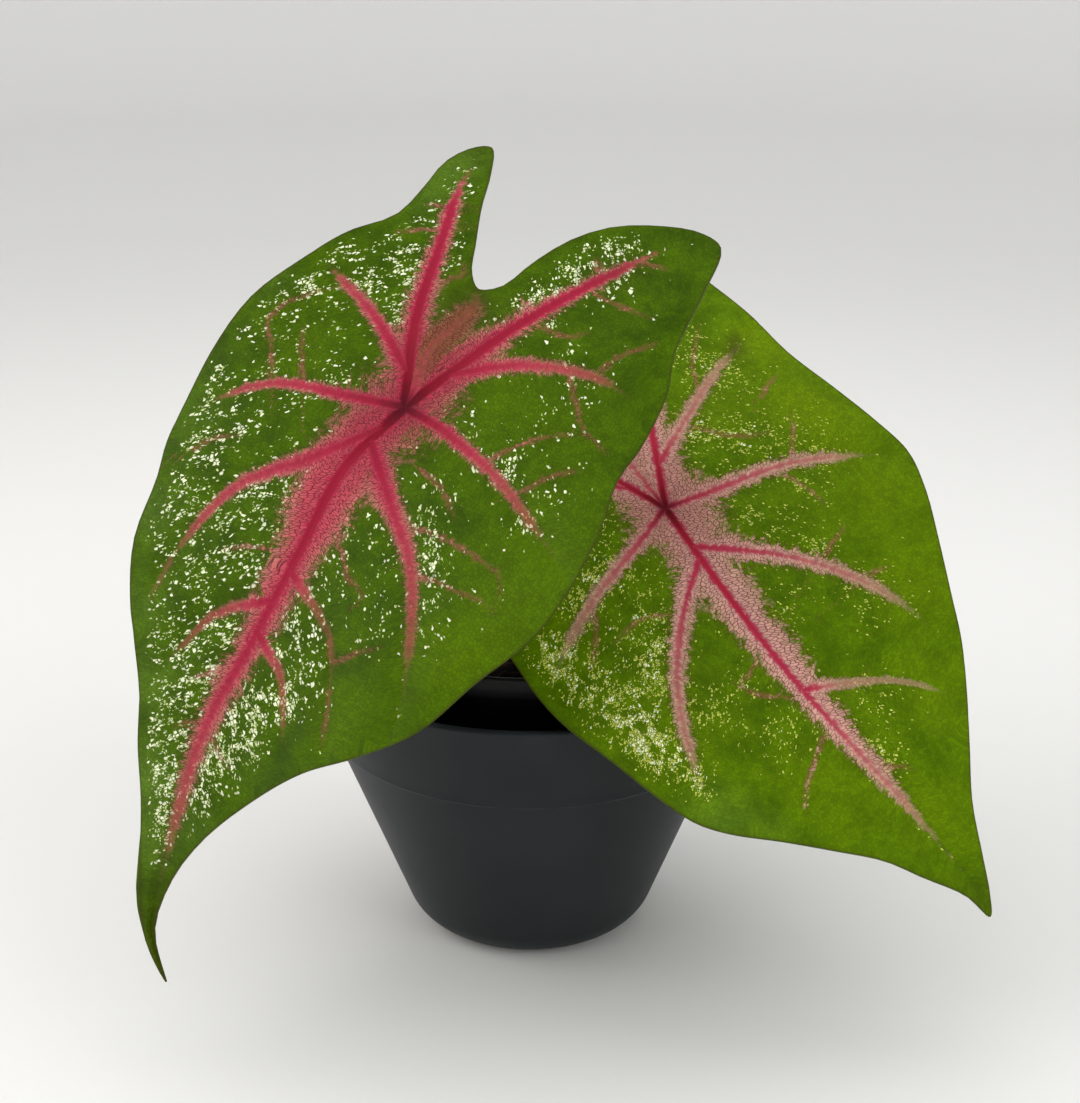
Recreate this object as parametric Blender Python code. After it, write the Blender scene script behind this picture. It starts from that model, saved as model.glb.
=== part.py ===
"""A potted caladium: two heart-shaped leaves on their stalks, growing in soil in a nursery pot
that stands in a tapered cachepot. Metres, +Z up, the table top at Z = 0, the pots' axis on Z."""

import math

import bmesh
import bpy
import numpy as np
from mathutils import Matrix, Vector
from mathutils.geometry import delaunay_2d_cdt

MM = 0.001

# Gap left between pieces that touch, in millimetres like every size below
CONTACT_GAP = 0.3

# Cachepot: a tapered wall with a slightly steeper collar on its upper part
CACHEPOT_HEIGHT = 94.5
CACHEPOT_WALL = 2.2
COLLAR_HEIGHT = 66.0
COLLAR_STEP = 0.5
COLLAR_SLOPE = 0.30
LOWER_WALL_SLOPE = 0.388
WALL_RADIUS_AT_TABLE = 35.8
FOOT_FILLET = 14.0
INNER_FILLET = 9.0
CACHEPOT_FLOOR = 2.6
POT_SEGMENTS = 64

# Nursery pot: thin black growing pot, seated in the cachepot's taper
NURSERY_SEAT = 17.0
NURSERY_RIM_HEIGHT = 106.0
NURSERY_RIM_RADIUS = 59.5
NURSERY_BAND_HEIGHT = 7.0
NURSERY_BAND_DEPTH = 1.5
NURSERY_WALL = 1.2
NURSERY_FLOOR = 1.6
NURSERY_FOOT_BEVEL = 1.5
NURSERY_LIP = 0.8
WALL_MIDDLE = 60.0
DRAIN_HOLE_RADIUS = 4.0
DRAIN_HOLE_RING = 25.0
DRAIN_HOLE_COUNT = 6

# Soil: crumbly top a little under the nursery pot's rim
SOIL_LEVEL = 99.5
SOIL_CRUMB = 1.3
SOIL_SEGMENTS = 44
SOIL_RINGS = 9
STALK_DEPTH = 12.0
HOLE_SIDES = 14
HOLE_TOP = 8.0

# Leaf blades
BLADE_THICKNESS = 0.9
MARGIN_THICKNESS = 0.7
PAD_RADIUS = 3.4
PAD_HEIGHT = 2.2
OUTLINE_STEP = 3.8
RIB_STEP = 5.0
GRID_STEP = 6.4
NEAREST_POINTS = 1.3
RIB_JOIN = 1.6
RIB_HALF_WIDTH = 1.7
QUILT_HEIGHT = 0.5
QUILT_REACH = 5.0
QUILT_MARGIN = 8.0
FOLD_WIDTH = 25.0
WAVE_REACH = 24.0

# Each leaf's own plane: a runs from the stalk towards the tip, b to the viewer's right.
# facing and tilt aim the upper face, heading swings the tip sideways within the plane.
LEFT_LEAF = {
    "junction": (-34.2, -45.0, 181.8),
    "facing": 14.0,
    "tilt": 44.0,
    "heading": 22.6,
    "tip_curl": (0.0020, 1.5e-5),
    "lobe_curl": 0.0025,
    "droop": 0.0007,
    "fold": 0.10,
    "wave": (1.3, 7, 0.8),
    "outline": (
        (177, 12), (168, 3), (157, -2), (145, -7), (131, -13), (118, -20), (104, -26), (93, -33),
        (83, -40), (68, -48), (51, -52), (40, -56), (28, -58), (10, -60), (-8, -59), (-25, -53),
        (-40, -47), (-52, -39), (-64, -38), (-76, -38), (-84, -34), (-87, -29), (-78, -23),
        (-66, -18), (-54, -12), (-46, -8), (-42, -3), (-46, 2), (-58, 5), (-70, 10), (-79, 18),
        (-85, 30), (-88, 42), (-86, 50), (-70, 54), (-50, 57), (-38, 62), (-20, 65), (-8, 65),
        (8, 69), (24, 70), (40, 68), (58, 60), (76, 53), (89, 42), (101, 29), (116, 18), (132, 9),
        (148, 4), (165, 4),
    ),
    "main_ribs": (
        ((0, 0), (24, -5), (49, -3), (79, -2), (102, -3), (125, -1), (148, 1), (166, 4)),
        ((0, 0), (-25, -13), (-49, -21), (-70, -28)),
        ((0, 0), (-16, 6), (-37, 14), (-59, 25), (-79, 37)),
    ),
    "side_ribs": (
        ((-12, -7), (-20, -24), (-26, -41), (-28, -48)),
        ((0, 0), (5, -18), (11, -37), (23, -50)),
        ((8, -2), (25, -15), (41, -29), (58, -34), (76, -37)),
        ((67, -3), (78, -17), (94, -22)),
        ((-16, 6), (-26, 22), (-32, 42), (-30, 57)),
        ((0, 0), (1, 13), (6, 34), (14, 52), (21, 62)),
        ((13, -3), (28, 15), (38, 27), (55, 38), (75, 45)),
        ((55, -3), (62, 9), (70, 23), (82, 31)),
        ((76, -2), (81, 8), (98, 21)),
    ),
}

RIGHT_LEAF = {
    "junction": (40.4, -10.0, 139.5),
    "facing": -4.0,
    "tilt": 56.0,
    "heading": -28.0,
    "tip_curl": (0.0012, 0.8e-5),
    "lobe_curl": 0.0025,
    "droop": 0.0006,
    "fold": 0.10,
    "wave": (1.2, 6, 2.1),
    "outline": (
        (151, 12), (143, 9), (133, 1), (124, -6), (115, -17), (106, -29), (97, -42), (90, -49),
        (78, -55), (64, -60), (50, -65), (38, -67), (24, -67), (8, -67), (-10, -65), (-28, -63),
        (-46, -62), (-62, -60), (-76, -57), (-87, -51), (-93, -42), (-91, -32), (-84, -24),
        (-74, -17), (-62, -11), (-50, -6), (-42, -1), (-48, 5), (-60, 9), (-72, 15), (-83, 23),
        (-91, 34), (-94, 46), (-89, 57), (-80, 62), (-66, 64), (-50, 66), (-32, 67), (-12, 71),
        (6, 74), (20, 75), (34, 71), (50, 64), (66, 57), (80, 51), (94, 43), (108, 34), (122, 25),
        (136, 19), (146, 15),
    ),
    "main_ribs": (
        ((0, 0), (28, -1), (62, 0), (92, 4), (119, 9), (142, 13)),
        ((0, 0), (-19, 10), (-29, 14), (-50, 24), (-70, 37), (-84, 46)),
        ((0, 0), (-16, -7), (-40, -18), (-65, -32), (-84, -42)),
    ),
    "side_ribs": (
        ((-12, 7), (-24, 22), (-37, 44), (-43, 58)),
        ((0, 0), (2, 17), (5, 40), (12, 58), (17, 69)),
        ((14, 0), (29, 18), (44, 32), (62, 42), (77, 48)),
        ((71, 1), (78, 19), (92, 37)),
        ((20, 0), (34, -16), (54, -31), (77, -40), (88, -43)),
        ((0, 0), (7, -14), (18, -37), (31, -56), (36, -61)),
        ((86, 3), (93, -11), (104, -22)),
        ((-12, -6), (-24, -22), (-36, -43), (-42, -56)),
    ),
}

# Leaf stalks: where each leaves the soil, the bend half way, and its radii below and above
LEFT_STALK = {"foot": (-19.0, -10.0), "bend": (-34.0, -26.0, 134.0), "radii": (3.1, 2.2)}
RIGHT_STALK = {"foot": (9.0, 3.0), "bend": (26.0, 4.0, 118.0), "radii": (2.9, 2.1)}
STALK_STRAIGHT = 5.0
STALK_NECK = 5.0
STALK_SIDES = 12
STALK_RINGS = 13

# Colours are linear values
CACHEPOT_LOOK = ((0.018, 0.021, 0.024, 1.0), 0.55)
NURSERY_LOOK = ((0.006, 0.006, 0.006, 1.0), 0.60)
SOIL_LOOK = ((0.022, 0.013, 0.008, 1.0), 0.95)
STALK_LOOK = ((0.190, 0.085, 0.040, 1.0), 0.45)
BLADE_LOOK = ((0.110, 0.190, 0.012, 1.0), 0.42)


def clear_scene():
    """Remove whatever the opened file holds."""
    for thing in list(bpy.data.objects):
        bpy.data.objects.remove(thing, do_unlink=True)


def material(name, look):
    """A plain Principled material from a colour and a roughness."""
    colour, roughness = look
    made = bpy.data.materials.new(name)
    made.use_nodes = True
    shader = made.node_tree.nodes["Principled BSDF"]
    shader.inputs["Base Color"].default_value = colour
    shader.inputs["Roughness"].default_value = roughness
    shader.inputs["Metallic"].default_value = 0.0
    made.diffuse_color = colour
    return made


def add_object(name, points, faces, look, sharp=40.0):
    """A smooth-shaded mesh object from points in millimetres, with its own material."""
    mesh = bpy.data.meshes.new(name)
    mesh.from_pydata([tuple(float(c) * MM for c in p) for p in points], [], faces)
    mesh.validate()
    shape = bmesh.new()
    shape.from_mesh(mesh)
    bmesh.ops.recalc_face_normals(shape, faces=shape.faces)
    shape.to_mesh(mesh)
    shape.free()
    mesh.shade_smooth()
    mesh.set_sharp_from_angle(angle=math.radians(sharp))
    made = bpy.data.objects.new(name, mesh)
    mesh.materials.append(material(name, look))
    bpy.context.scene.collection.objects.link(made)
    return made


def arc(centre_r, centre_z, radius, start, end, count):
    """Points on a circular arc of a profile, by angle in degrees from the outward direction."""
    turns = np.radians(np.linspace(start, end, count))
    return [(centre_r + radius * math.cos(t), centre_z + radius * math.sin(t)) for t in turns]


def lathe(profile, segments):
    """Points and faces of a profile that starts and ends on the axis, turned about Z."""
    ring = profile[1:-1]
    turns = [2 * math.pi * k / segments for k in range(segments)]
    points = [(r * math.cos(t), r * math.sin(t), z) for r, z in ring for t in turns]
    first, last = len(points), len(points) + 1
    points += [(0.0, 0.0, profile[0][1]), (0.0, 0.0, profile[-1][1])]
    faces = []
    top = (len(ring) - 1) * segments
    for k in range(segments):
        after = (k + 1) % segments
        faces.append((first, after, k))
        faces.append((last, top + k, top + after))
        for row in range(0, top, segments):
            faces.append((row + k, row + after, row + segments + after, row + segments + k))
    return points, faces


def cut(target, cutter):
    """Subtract a hidden helper from an object."""
    cutter.hide_render = True
    cutter.display_type = "WIRE"
    step = target.modifiers.new("cut_" + cutter.name, "BOOLEAN")
    step.operation = "DIFFERENCE"
    step.solver = "EXACT"
    step.object = cutter


def outer_radius(z):
    """Outside radius of the cachepot's lower wall."""
    return WALL_RADIUS_AT_TABLE + LOWER_WALL_SLOPE * z


def inner_radius(z):
    """Inside radius of the cachepot's lower wall."""
    return outer_radius(z) - CACHEPOT_WALL * math.hypot(1.0, LOWER_WALL_SLOPE)


def make_cachepot():
    """Closed-bottom tapered pot with a rounded foot, a collar and a rounded rim."""
    lean = math.degrees(math.atan(LOWER_WALL_SLOPE))
    stretch = math.hypot(1.0, LOWER_WALL_SLOPE)
    foot_r = outer_radius(FOOT_FILLET) - FOOT_FILLET * stretch
    profile = [(0.0, 0.0), (foot_r * 0.6, 0.0)]
    profile += arc(foot_r, FOOT_FILLET, FOOT_FILLET, -90.0, -lean, 8)
    profile.append((outer_radius(COLLAR_HEIGHT / 2), COLLAR_HEIGHT / 2))
    profile.append((outer_radius(COLLAR_HEIGHT), COLLAR_HEIGHT))
    collar_r = outer_radius(COLLAR_HEIGHT) + COLLAR_STEP
    profile.append((collar_r, COLLAR_HEIGHT + COLLAR_STEP))
    lip = CACHEPOT_WALL / 2
    lip_z = CACHEPOT_HEIGHT - lip
    rim_r = collar_r + COLLAR_SLOPE * (lip_z - COLLAR_HEIGHT)
    profile += arc(rim_r - lip, lip_z, lip, 0.0, 180.0, 7)
    wall = CACHEPOT_WALL * math.hypot(1.0, COLLAR_SLOPE)
    profile.append((collar_r - wall, COLLAR_HEIGHT))
    floor_z = CACHEPOT_FLOOR + INNER_FILLET
    floor_r = inner_radius(floor_z) - INNER_FILLET * stretch
    profile += arc(floor_r, floor_z, INNER_FILLET, -lean, -90.0, 6)
    profile.append((0.0, CACHEPOT_FLOOR))
    points, faces = lathe(profile, POT_SEGMENTS)
    return add_object("cachepot", points, faces, CACHEPOT_LOOK)


def nursery_radius(z):
    """Outside radius of the nursery pot's wall below its rim band."""
    foot = inner_radius(NURSERY_SEAT) - CONTACT_GAP * math.hypot(1.0, LOWER_WALL_SLOPE)
    band = NURSERY_RIM_RADIUS - NURSERY_BAND_DEPTH
    share = (z - NURSERY_SEAT) / (NURSERY_RIM_HEIGHT - NURSERY_SEAT)
    return foot + (band - foot) * share


def make_nursery_pot():
    """Thin growing pot with a rim band and drain holes in its floor."""
    top = NURSERY_RIM_HEIGHT
    band_z = top - NURSERY_BAND_HEIGHT
    bottom = NURSERY_SEAT - NURSERY_FOOT_BEVEL
    profile = [(0.0, bottom), (nursery_radius(NURSERY_SEAT) - NURSERY_FOOT_BEVEL, bottom)]
    profile.append((nursery_radius(NURSERY_SEAT), NURSERY_SEAT))
    profile.append((nursery_radius(WALL_MIDDLE), WALL_MIDDLE))
    profile.append((nursery_radius(band_z), band_z))
    profile.append((NURSERY_RIM_RADIUS - CONTACT_GAP, band_z + NURSERY_LIP))
    profile += arc(NURSERY_RIM_RADIUS - NURSERY_LIP, top - NURSERY_LIP, NURSERY_LIP, 0.0, 180.0, 5)
    profile.append((nursery_radius(band_z) - NURSERY_WALL, band_z))
    profile.append((nursery_radius(WALL_MIDDLE) - NURSERY_WALL, WALL_MIDDLE))
    floor_z = bottom + NURSERY_FLOOR
    profile.append((nursery_radius(floor_z + 1.0) - NURSERY_WALL, floor_z + 1.0))
    profile.append((nursery_radius(floor_z) - NURSERY_WALL - 1.2, floor_z))
    profile.append((0.0, floor_z))
    points, faces = lathe(profile, POT_SEGMENTS)
    pot = add_object("nursery_pot", points, faces, NURSERY_LOOK)
    for k in range(DRAIN_HOLE_COUNT):
        turn = 2 * math.pi * (k + 0.5) / DRAIN_HOLE_COUNT
        place = (DRAIN_HOLE_RING * math.cos(turn), DRAIN_HOLE_RING * math.sin(turn))
        bore = [(0.0, bottom - 2.0), (DRAIN_HOLE_RADIUS, bottom - 2.0)]
        bore += [(DRAIN_HOLE_RADIUS, floor_z + 2.0), (0.0, floor_z + 2.0)]
        points, faces = lathe(bore, HOLE_SIDES)
        points = [(x + place[0], y + place[1], z) for x, y, z in points]
        cut(pot, add_object(f"drain_hole_{k + 1}", points, faces, NURSERY_LOOK))
    return pot


def crumb_height(x, y):
    """Height of the soil's crumbs over its mean level."""
    rough = math.sin(0.31 * x + 0.7) * math.cos(0.27 * y - 0.4)
    fine = math.sin(0.83 * x - 0.51 * y) * math.cos(0.67 * y + 0.38 * x + 1.1)
    return SOIL_CRUMB * (0.6 * rough + 0.4 * fine)


def make_soil():
    """The root ball: fills the nursery pot up to a crumbly top."""
    bottom = NURSERY_SEAT - NURSERY_FOOT_BEVEL + NURSERY_FLOOR + CONTACT_GAP
    inset = NURSERY_WALL + CONTACT_GAP
    band_z = NURSERY_RIM_HEIGHT - NURSERY_BAND_HEIGHT
    side_z = band_z - SOIL_CRUMB
    profile = [(0.0, bottom), (nursery_radius(bottom) - inset - NURSERY_FOOT_BEVEL, bottom)]
    profile.append((nursery_radius(bottom + NURSERY_FOOT_BEVEL) - inset, bottom + NURSERY_FOOT_BEVEL))
    profile.append((nursery_radius(WALL_MIDDLE) - inset, WALL_MIDDLE))
    profile.append((nursery_radius(side_z) - inset, side_z))
    rim = nursery_radius(side_z) - inset
    for k in range(1, SOIL_RINGS):
        profile.append((rim * (1.0 - k / SOIL_RINGS), SOIL_LEVEL))
    profile.append((0.0, SOIL_LEVEL))
    points, faces = lathe(profile, SOIL_SEGMENTS)
    points = [
        (x, y, z + crumb_height(x, y) if z > side_z else z)
        for x, y, z in points
    ]
    return add_object("soil", points, faces, SOIL_LOOK, sharp=80.0)


def smooth_curve(controls, step, closed=False):
    """Evenly spaced points on a centripetal Catmull-Rom curve through the control points."""
    pts = np.array(controls, float)
    if closed:
        pts = np.vstack([pts[-1], pts, pts[:2]])
    else:
        pts = np.vstack([2 * pts[0] - pts[1], pts, 2 * pts[-1] - pts[-2]])
    dense = []
    for p0, p1, p2, p3 in zip(pts, pts[1:], pts[2:], pts[3:]):
        t1 = np.linalg.norm(p1 - p0) ** 0.5
        t2 = t1 + np.linalg.norm(p2 - p1) ** 0.5
        t3 = t2 + np.linalg.norm(p3 - p2) ** 0.5
        t = np.linspace(t1, t2, 24, endpoint=False)[:, None]
        a1 = (t1 - t) / t1 * p0 + t / t1 * p1
        a2 = (t2 - t) / (t2 - t1) * p1 + (t - t1) / (t2 - t1) * p2
        a3 = (t3 - t) / (t3 - t2) * p2 + (t - t2) / (t3 - t2) * p3
        b1 = (t2 - t) / t2 * a1 + t / t2 * a2
        b2 = (t3 - t) / (t3 - t1) * a2 + (t - t1) / (t3 - t1) * a3
        dense.append((t2 - t) / (t2 - t1) * b1 + (t - t1) / (t2 - t1) * b2)
    dense = np.vstack(dense + [pts[-2:-1]])
    run = np.concatenate([[0.0], np.cumsum(np.linalg.norm(np.diff(dense, axis=0), axis=1))])
    count = max(3, round(run[-1] / step))
    wanted = np.linspace(0.0, run[-1], count + 1)
    if closed:
        wanted = wanted[:-1]
    return np.column_stack([np.interp(wanted, run, dense[:, k]) for k in range(2)])


def distance_to(points, line, closed=False):
    """Distance of each point to a polyline, and the share of its length where that is."""
    ends = np.roll(line, -1, axis=0) if closed else line[1:]
    starts = line if closed else line[:-1]
    reach = ends - starts
    span = (reach ** 2).sum(1)
    offset = points[:, None] - starts[None]
    share = np.clip((offset * reach).sum(2) / span, 0.0, 1.0)
    gap = np.linalg.norm(offset - share[..., None] * reach, axis=2)
    nearest = gap.argmin(1)
    rows = np.arange(len(points))
    return gap[rows, nearest], (nearest + share[rows, nearest]) / len(starts)


def sheet(leaf, flat):
    """The blade's middle layer: curls towards the tip and lobes, droops and folds sideways."""
    a, b = flat[:, 0], flat[:, 1]
    first, second = leaf["tip_curl"]
    shares = np.append((np.arange(40) + 0.5) / 40, 1.0)
    along = a[:, None] * shares
    bend = np.where(along > 0, first * along + second * along ** 2, leaf["lobe_curl"] * along)
    x = np.cos(bend[:, :-1]).mean(1) * a
    z = -np.sin(bend[:, :-1]).mean(1) * a
    end = bend[:, -1]
    rise = leaf["fold"] * (np.hypot(b, FOLD_WIDTH) - FOLD_WIDTH) - leaf["droop"] * b ** 2
    return np.column_stack([x + rise * np.sin(end), b, z + rise * np.cos(end)])


def sheet_normals(leaf, flat):
    """Unit normals of the middle layer."""
    step = 0.5
    across_a = sheet(leaf, flat + (step, 0.0)) - sheet(leaf, flat - (step, 0.0))
    across_b = sheet(leaf, flat + (0.0, step)) - sheet(leaf, flat - (0.0, step))
    normal = np.cross(across_a, across_b)
    return normal / np.linalg.norm(normal, axis=1, keepdims=True)


def rib_rows(leaf):
    """Each rib's centre line with its height at every point, falling towards its end."""
    rows = []
    for key, start, end in (("main_ribs", 1.5, 0.5), ("side_ribs", 0.9, 0.3)):
        for controls in leaf[key]:
            line = smooth_curve(controls, RIB_STEP)
            rows.append((line, np.linspace(start, end, len(line))))
    return rows


def blade_layout(leaf):
    """Triangles of the flat blade, with points on the margin, on and beside each rib, and between."""
    outline = smooth_curve(leaf["outline"], OUTLINE_STEP, closed=True)
    ribs = rib_rows(leaf)
    points = [tuple(p) for p in outline]
    edges = [(k, (k + 1) % len(outline)) for k in range(len(outline))]
    placed = np.array(points)
    for line, _ in ribs:
        fresh = []
        for p in line:
            gaps = np.linalg.norm(placed - p, axis=1)
            if gaps.min() < RIB_JOIN:
                fresh.append(int(gaps.argmin()))
                continue
            fresh.append(len(points))
            points.append(tuple(p))
        placed = np.array(points)
        edges += [pair for pair in zip(fresh, fresh[1:]) if pair[0] != pair[1]]
    everything = [line for line, _ in ribs]
    sides = []
    for line, _ in ribs:
        forward = np.gradient(line, axis=0)
        normal = np.column_stack([-forward[:, 1], forward[:, 0]])
        normal /= np.linalg.norm(normal, axis=1, keepdims=True)
        sides += [line + RIB_HALF_WIDTH * normal, line - RIB_HALF_WIDTH * normal]
    sides = np.vstack(sides)
    turns = np.radians(np.arange(0, 360, 45))
    pad = PAD_RADIUS * np.column_stack([np.cos(turns), np.sin(turns)])
    low, high = outline.min(0), outline.max(0)
    rows = np.arange(low[0], high[0], GRID_STEP * 0.866)
    grid = [
        (a, b + GRID_STEP / 2 * (k % 2))
        for k, a in enumerate(rows)
        for b in np.arange(low[1], high[1], GRID_STEP)
    ]
    # Each group keeps clear of the margin and of the ribs by these distances
    groups = (
        (pad, 0.0, 0.0),
        (sides, OUTLINE_STEP / 2, RIB_HALF_WIDTH * 0.7),
        (np.array(grid), GRID_STEP * 0.4, GRID_STEP / 2),
    )
    for group, clear, rib_clear in groups:
        keep = inside(group, outline) & (distance_to(group, outline, closed=True)[0] > clear)
        for line in everything:
            keep &= distance_to(group, line)[0] > rib_clear
        for p in group[keep]:
            if np.linalg.norm(placed - p, axis=1).min() > NEAREST_POINTS:
                points.append(tuple(p))
                placed = np.vstack([placed, p])
    flat = [Vector(p) for p in points]
    loop = [list(range(len(outline)))]
    made = delaunay_2d_cdt(flat, edges, loop, 1, 1e-5)
    return np.array([tuple(v) for v in made[0]]), [tuple(f) for f in made[2]]


def inside(points, outline):
    """Whether each point lies inside a closed outline, by crossings of a ray."""
    x, y = points[:, 0][:, None], points[:, 1][:, None]
    x0, y0 = outline.T
    x1, y1 = np.roll(outline, -1, axis=0).T
    spans = (y0 > y) != (y1 > y)
    level = np.where(y1 == y0, 1.0, y1 - y0)
    hits = spans & (x < (x1 - x0) * (y - y0) / level + x0)
    return hits.sum(1) % 2 == 1


def relief(leaf, flat):
    """Rise of the upper face and depth of the lower face, measured from the middle layer."""
    outline = smooth_curve(leaf["outline"], 1.5, closed=True)
    margin, around = distance_to(flat, outline, closed=True)
    swell, waves, phase = leaf["wave"]
    fade = np.clip(1.0 - margin / WAVE_REACH, 0.0, 1.0) ** 2
    rise = swell * fade * np.sin(2 * math.pi * waves * around + phase)
    nearest = np.full(len(flat), 1e3)
    rib = np.zeros(len(flat))
    for line, heights in rib_rows(leaf):
        gap, share = distance_to(flat, line)
        height = np.interp(share, np.linspace(0.0, 1.0, len(heights)), heights)
        rib = np.maximum(rib, height * np.clip(1.0 - gap / RIB_HALF_WIDTH, 0.0, 1.0))
        nearest = np.minimum(nearest, gap)
    inland = np.clip(margin / QUILT_MARGIN, 0.0, 1.0)
    rise += QUILT_HEIGHT * inland * (1.0 - np.exp(-((nearest / QUILT_REACH) ** 2)))
    thickness = MARGIN_THICKNESS + (BLADE_THICKNESS - MARGIN_THICKNESS) * inland
    return rise, thickness + rib


def make_blade(name, leaf):
    """A blade with the same triangles on both faces, ribs below and a flat pad for its stalk."""
    flat, faces = blade_layout(leaf)
    rise, depth = relief(leaf, flat)
    middle, normal = sheet(leaf, flat), sheet_normals(leaf, flat)
    upper = middle + normal * rise[:, None]
    lower = upper - normal * depth[:, None]
    near = np.linalg.norm(flat, axis=1) <= PAD_RADIUS + 0.1
    lower[near, 2] = -PAD_HEIGHT
    count = len(flat)
    points = np.vstack([upper, lower])
    solid = list(faces)
    solid += [tuple(k + count for k in reversed(face)) for face in faces]
    directed = {pair for f in faces for pair in zip(f, f[1:] + f[:1])}
    for start, end in sorted(directed):
        if (end, start) not in directed:
            solid.append((end, start, start + count))
            solid.append((end, start + count, end + count))
    blade = add_object(name, points, solid, BLADE_LOOK, sharp=50.0)
    blade.matrix_world = leaf_matrix(leaf)
    return blade


def leaf_matrix(leaf):
    """World placement of a leaf's own plane."""
    facing, tilt, heading = (math.radians(leaf[k]) for k in ("facing", "tilt", "heading"))
    up = Vector((
        -math.sin(facing) * math.cos(tilt),
        -math.cos(facing) * math.cos(tilt),
        math.sin(tilt),
    ))
    downhill = Vector((
        -math.sin(facing) * math.sin(tilt),
        -math.cos(facing) * math.sin(tilt),
        -math.cos(tilt),
    ))
    sideways = Vector((math.cos(facing), -math.sin(facing), 0.0))
    along = downhill * math.cos(heading) - sideways * math.sin(heading)
    across = up.cross(along)
    turn = Matrix((along, across, up)).transposed().to_4x4()
    return Matrix.Translation(Vector(leaf["junction"]) * MM) @ turn


def stalk_root(stalk):
    """Where a stalk passes the soil's level, and the way it grows there."""
    surface = Vector((*stalk["foot"], SOIL_LEVEL))
    lean = (Vector(stalk["bend"]) - surface).normalized()
    return surface, (lean + Vector((0.0, 0.0, 1.0))).normalized()


def stalk_path(leaf, stalk):
    """Centre points of a stalk from its foot in the soil to the pad under its blade."""
    placement = leaf_matrix(leaf)
    up = placement.to_3x3() @ Vector((0.0, 0.0, 1.0))
    top = Vector(leaf["junction"]) - up * (PAD_HEIGHT + CONTACT_GAP)
    surface, way = stalk_root(stalk)
    bottom = surface - way * STALK_DEPTH
    clear = surface + way * STALK_STRAIGHT
    neck = top - up * STALK_NECK
    ends = [bottom, clear, Vector(stalk["bend"]), neck, top]
    path = []
    for p0, p1, p2, p3 in zip(ends, ends[1:], ends[2:], ends[3:]):
        for share in np.linspace(0.0, 1.0, 8, endpoint=False):
            square, cube = share ** 2, share ** 3
            path.append(
                0.5 * (2 * p1 + (p2 - p0) * share + (2 * p0 - 5 * p1 + 4 * p2 - p3) * square
                       + (3 * p1 - p0 - 3 * p2 + p3) * cube)
            )
    path.append(neck)
    dense = np.array([tuple(p) for p in path])
    run = np.concatenate([[0.0], np.cumsum(np.linalg.norm(np.diff(dense, axis=0), axis=1))])
    wanted = np.linspace(0.0, run[-1], STALK_RINGS)
    bent = np.column_stack([np.interp(wanted, run, dense[:, k]) for k in range(3)])
    return np.vstack([tuple(bottom), bent, tuple(top)])


def tube(path, radii, sides):
    """Points and faces of a closed round tube along a path."""
    forward = np.gradient(path, axis=0)
    forward /= np.linalg.norm(forward, axis=1, keepdims=True)
    turns = np.linspace(0.0, 2 * math.pi, sides, endpoint=False)
    side = np.array([1.0, 0.0, 0.0])
    points = []
    for centre, way, radius in zip(path, forward, radii):
        side = side - way * side.dot(way)
        side /= np.linalg.norm(side)
        other = np.cross(way, side)
        for t in turns:
            points.append(centre + radius * (math.cos(t) * side + math.sin(t) * other))
    faces = [tuple(reversed(range(sides)))]
    for row in range(len(path) - 1):
        for k in range(sides):
            after = (k + 1) % sides
            low, high = row * sides, (row + 1) * sides
            faces.append((low + k, low + after, high + after, high + k))
    last = (len(path) - 1) * sides
    faces.append(tuple(range(last, last + sides)))
    return points, faces


def make_stalk(name, leaf, stalk, soil):
    """A leaf stalk standing in a plain blind hole in the soil."""
    path = stalk_path(leaf, stalk)
    radii = np.linspace(*stalk["radii"], len(path))
    made = add_object(name, *tube(path, radii, STALK_SIDES), STALK_LOOK, sharp=60.0)
    bore = stalk["radii"][0] + CONTACT_GAP
    low = -STALK_DEPTH - CONTACT_GAP
    points, faces = lathe([(0.0, low), (bore, low), (bore, HOLE_TOP), (0.0, HOLE_TOP)], HOLE_SIDES)
    hole = add_object(name + "_hole", points, faces, SOIL_LOOK)
    surface, way = stalk_root(stalk)
    turn = way.to_track_quat("Z", "Y").to_matrix().to_4x4()
    hole.matrix_world = Matrix.Translation(surface * MM) @ turn
    cut(soil, hole)
    return made


def build():
    """Make every piece in its place."""
    clear_scene()
    make_cachepot()
    make_nursery_pot()
    soil = make_soil()
    make_stalk("petiole_left", LEFT_LEAF, LEFT_STALK, soil)
    make_stalk("petiole_right", RIGHT_LEAF, RIGHT_STALK, soil)
    make_blade("blade_left", LEFT_LEAF)
    make_blade("blade_right", RIGHT_LEAF)


build()
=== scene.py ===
"""A potted caladium dressed around its solids: leaf blades, stalks, soil, two pots and a pale stage."""

import functools
import math

import bpy
import numpy as np
from mathutils import Matrix, Vector


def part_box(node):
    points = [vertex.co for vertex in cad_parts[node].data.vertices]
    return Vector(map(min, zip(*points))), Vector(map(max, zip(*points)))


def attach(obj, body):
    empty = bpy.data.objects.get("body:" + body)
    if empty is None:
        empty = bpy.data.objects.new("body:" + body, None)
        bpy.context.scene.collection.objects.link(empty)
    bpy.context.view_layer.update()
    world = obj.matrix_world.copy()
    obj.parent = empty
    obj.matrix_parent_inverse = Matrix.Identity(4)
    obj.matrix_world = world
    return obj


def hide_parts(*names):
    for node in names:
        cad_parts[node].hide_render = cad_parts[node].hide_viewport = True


bl_info = {
    "name": "Potted Caladium",
    "version": (1, 0, 0),
    "blender": (4, 5, 0),
    "location": "3D View > Sidebar > Caladium",
    "description": "Makes a two-leaved caladium in its pots, with a stage, lights and a camera",
    "category": "Add Mesh",
}

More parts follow.
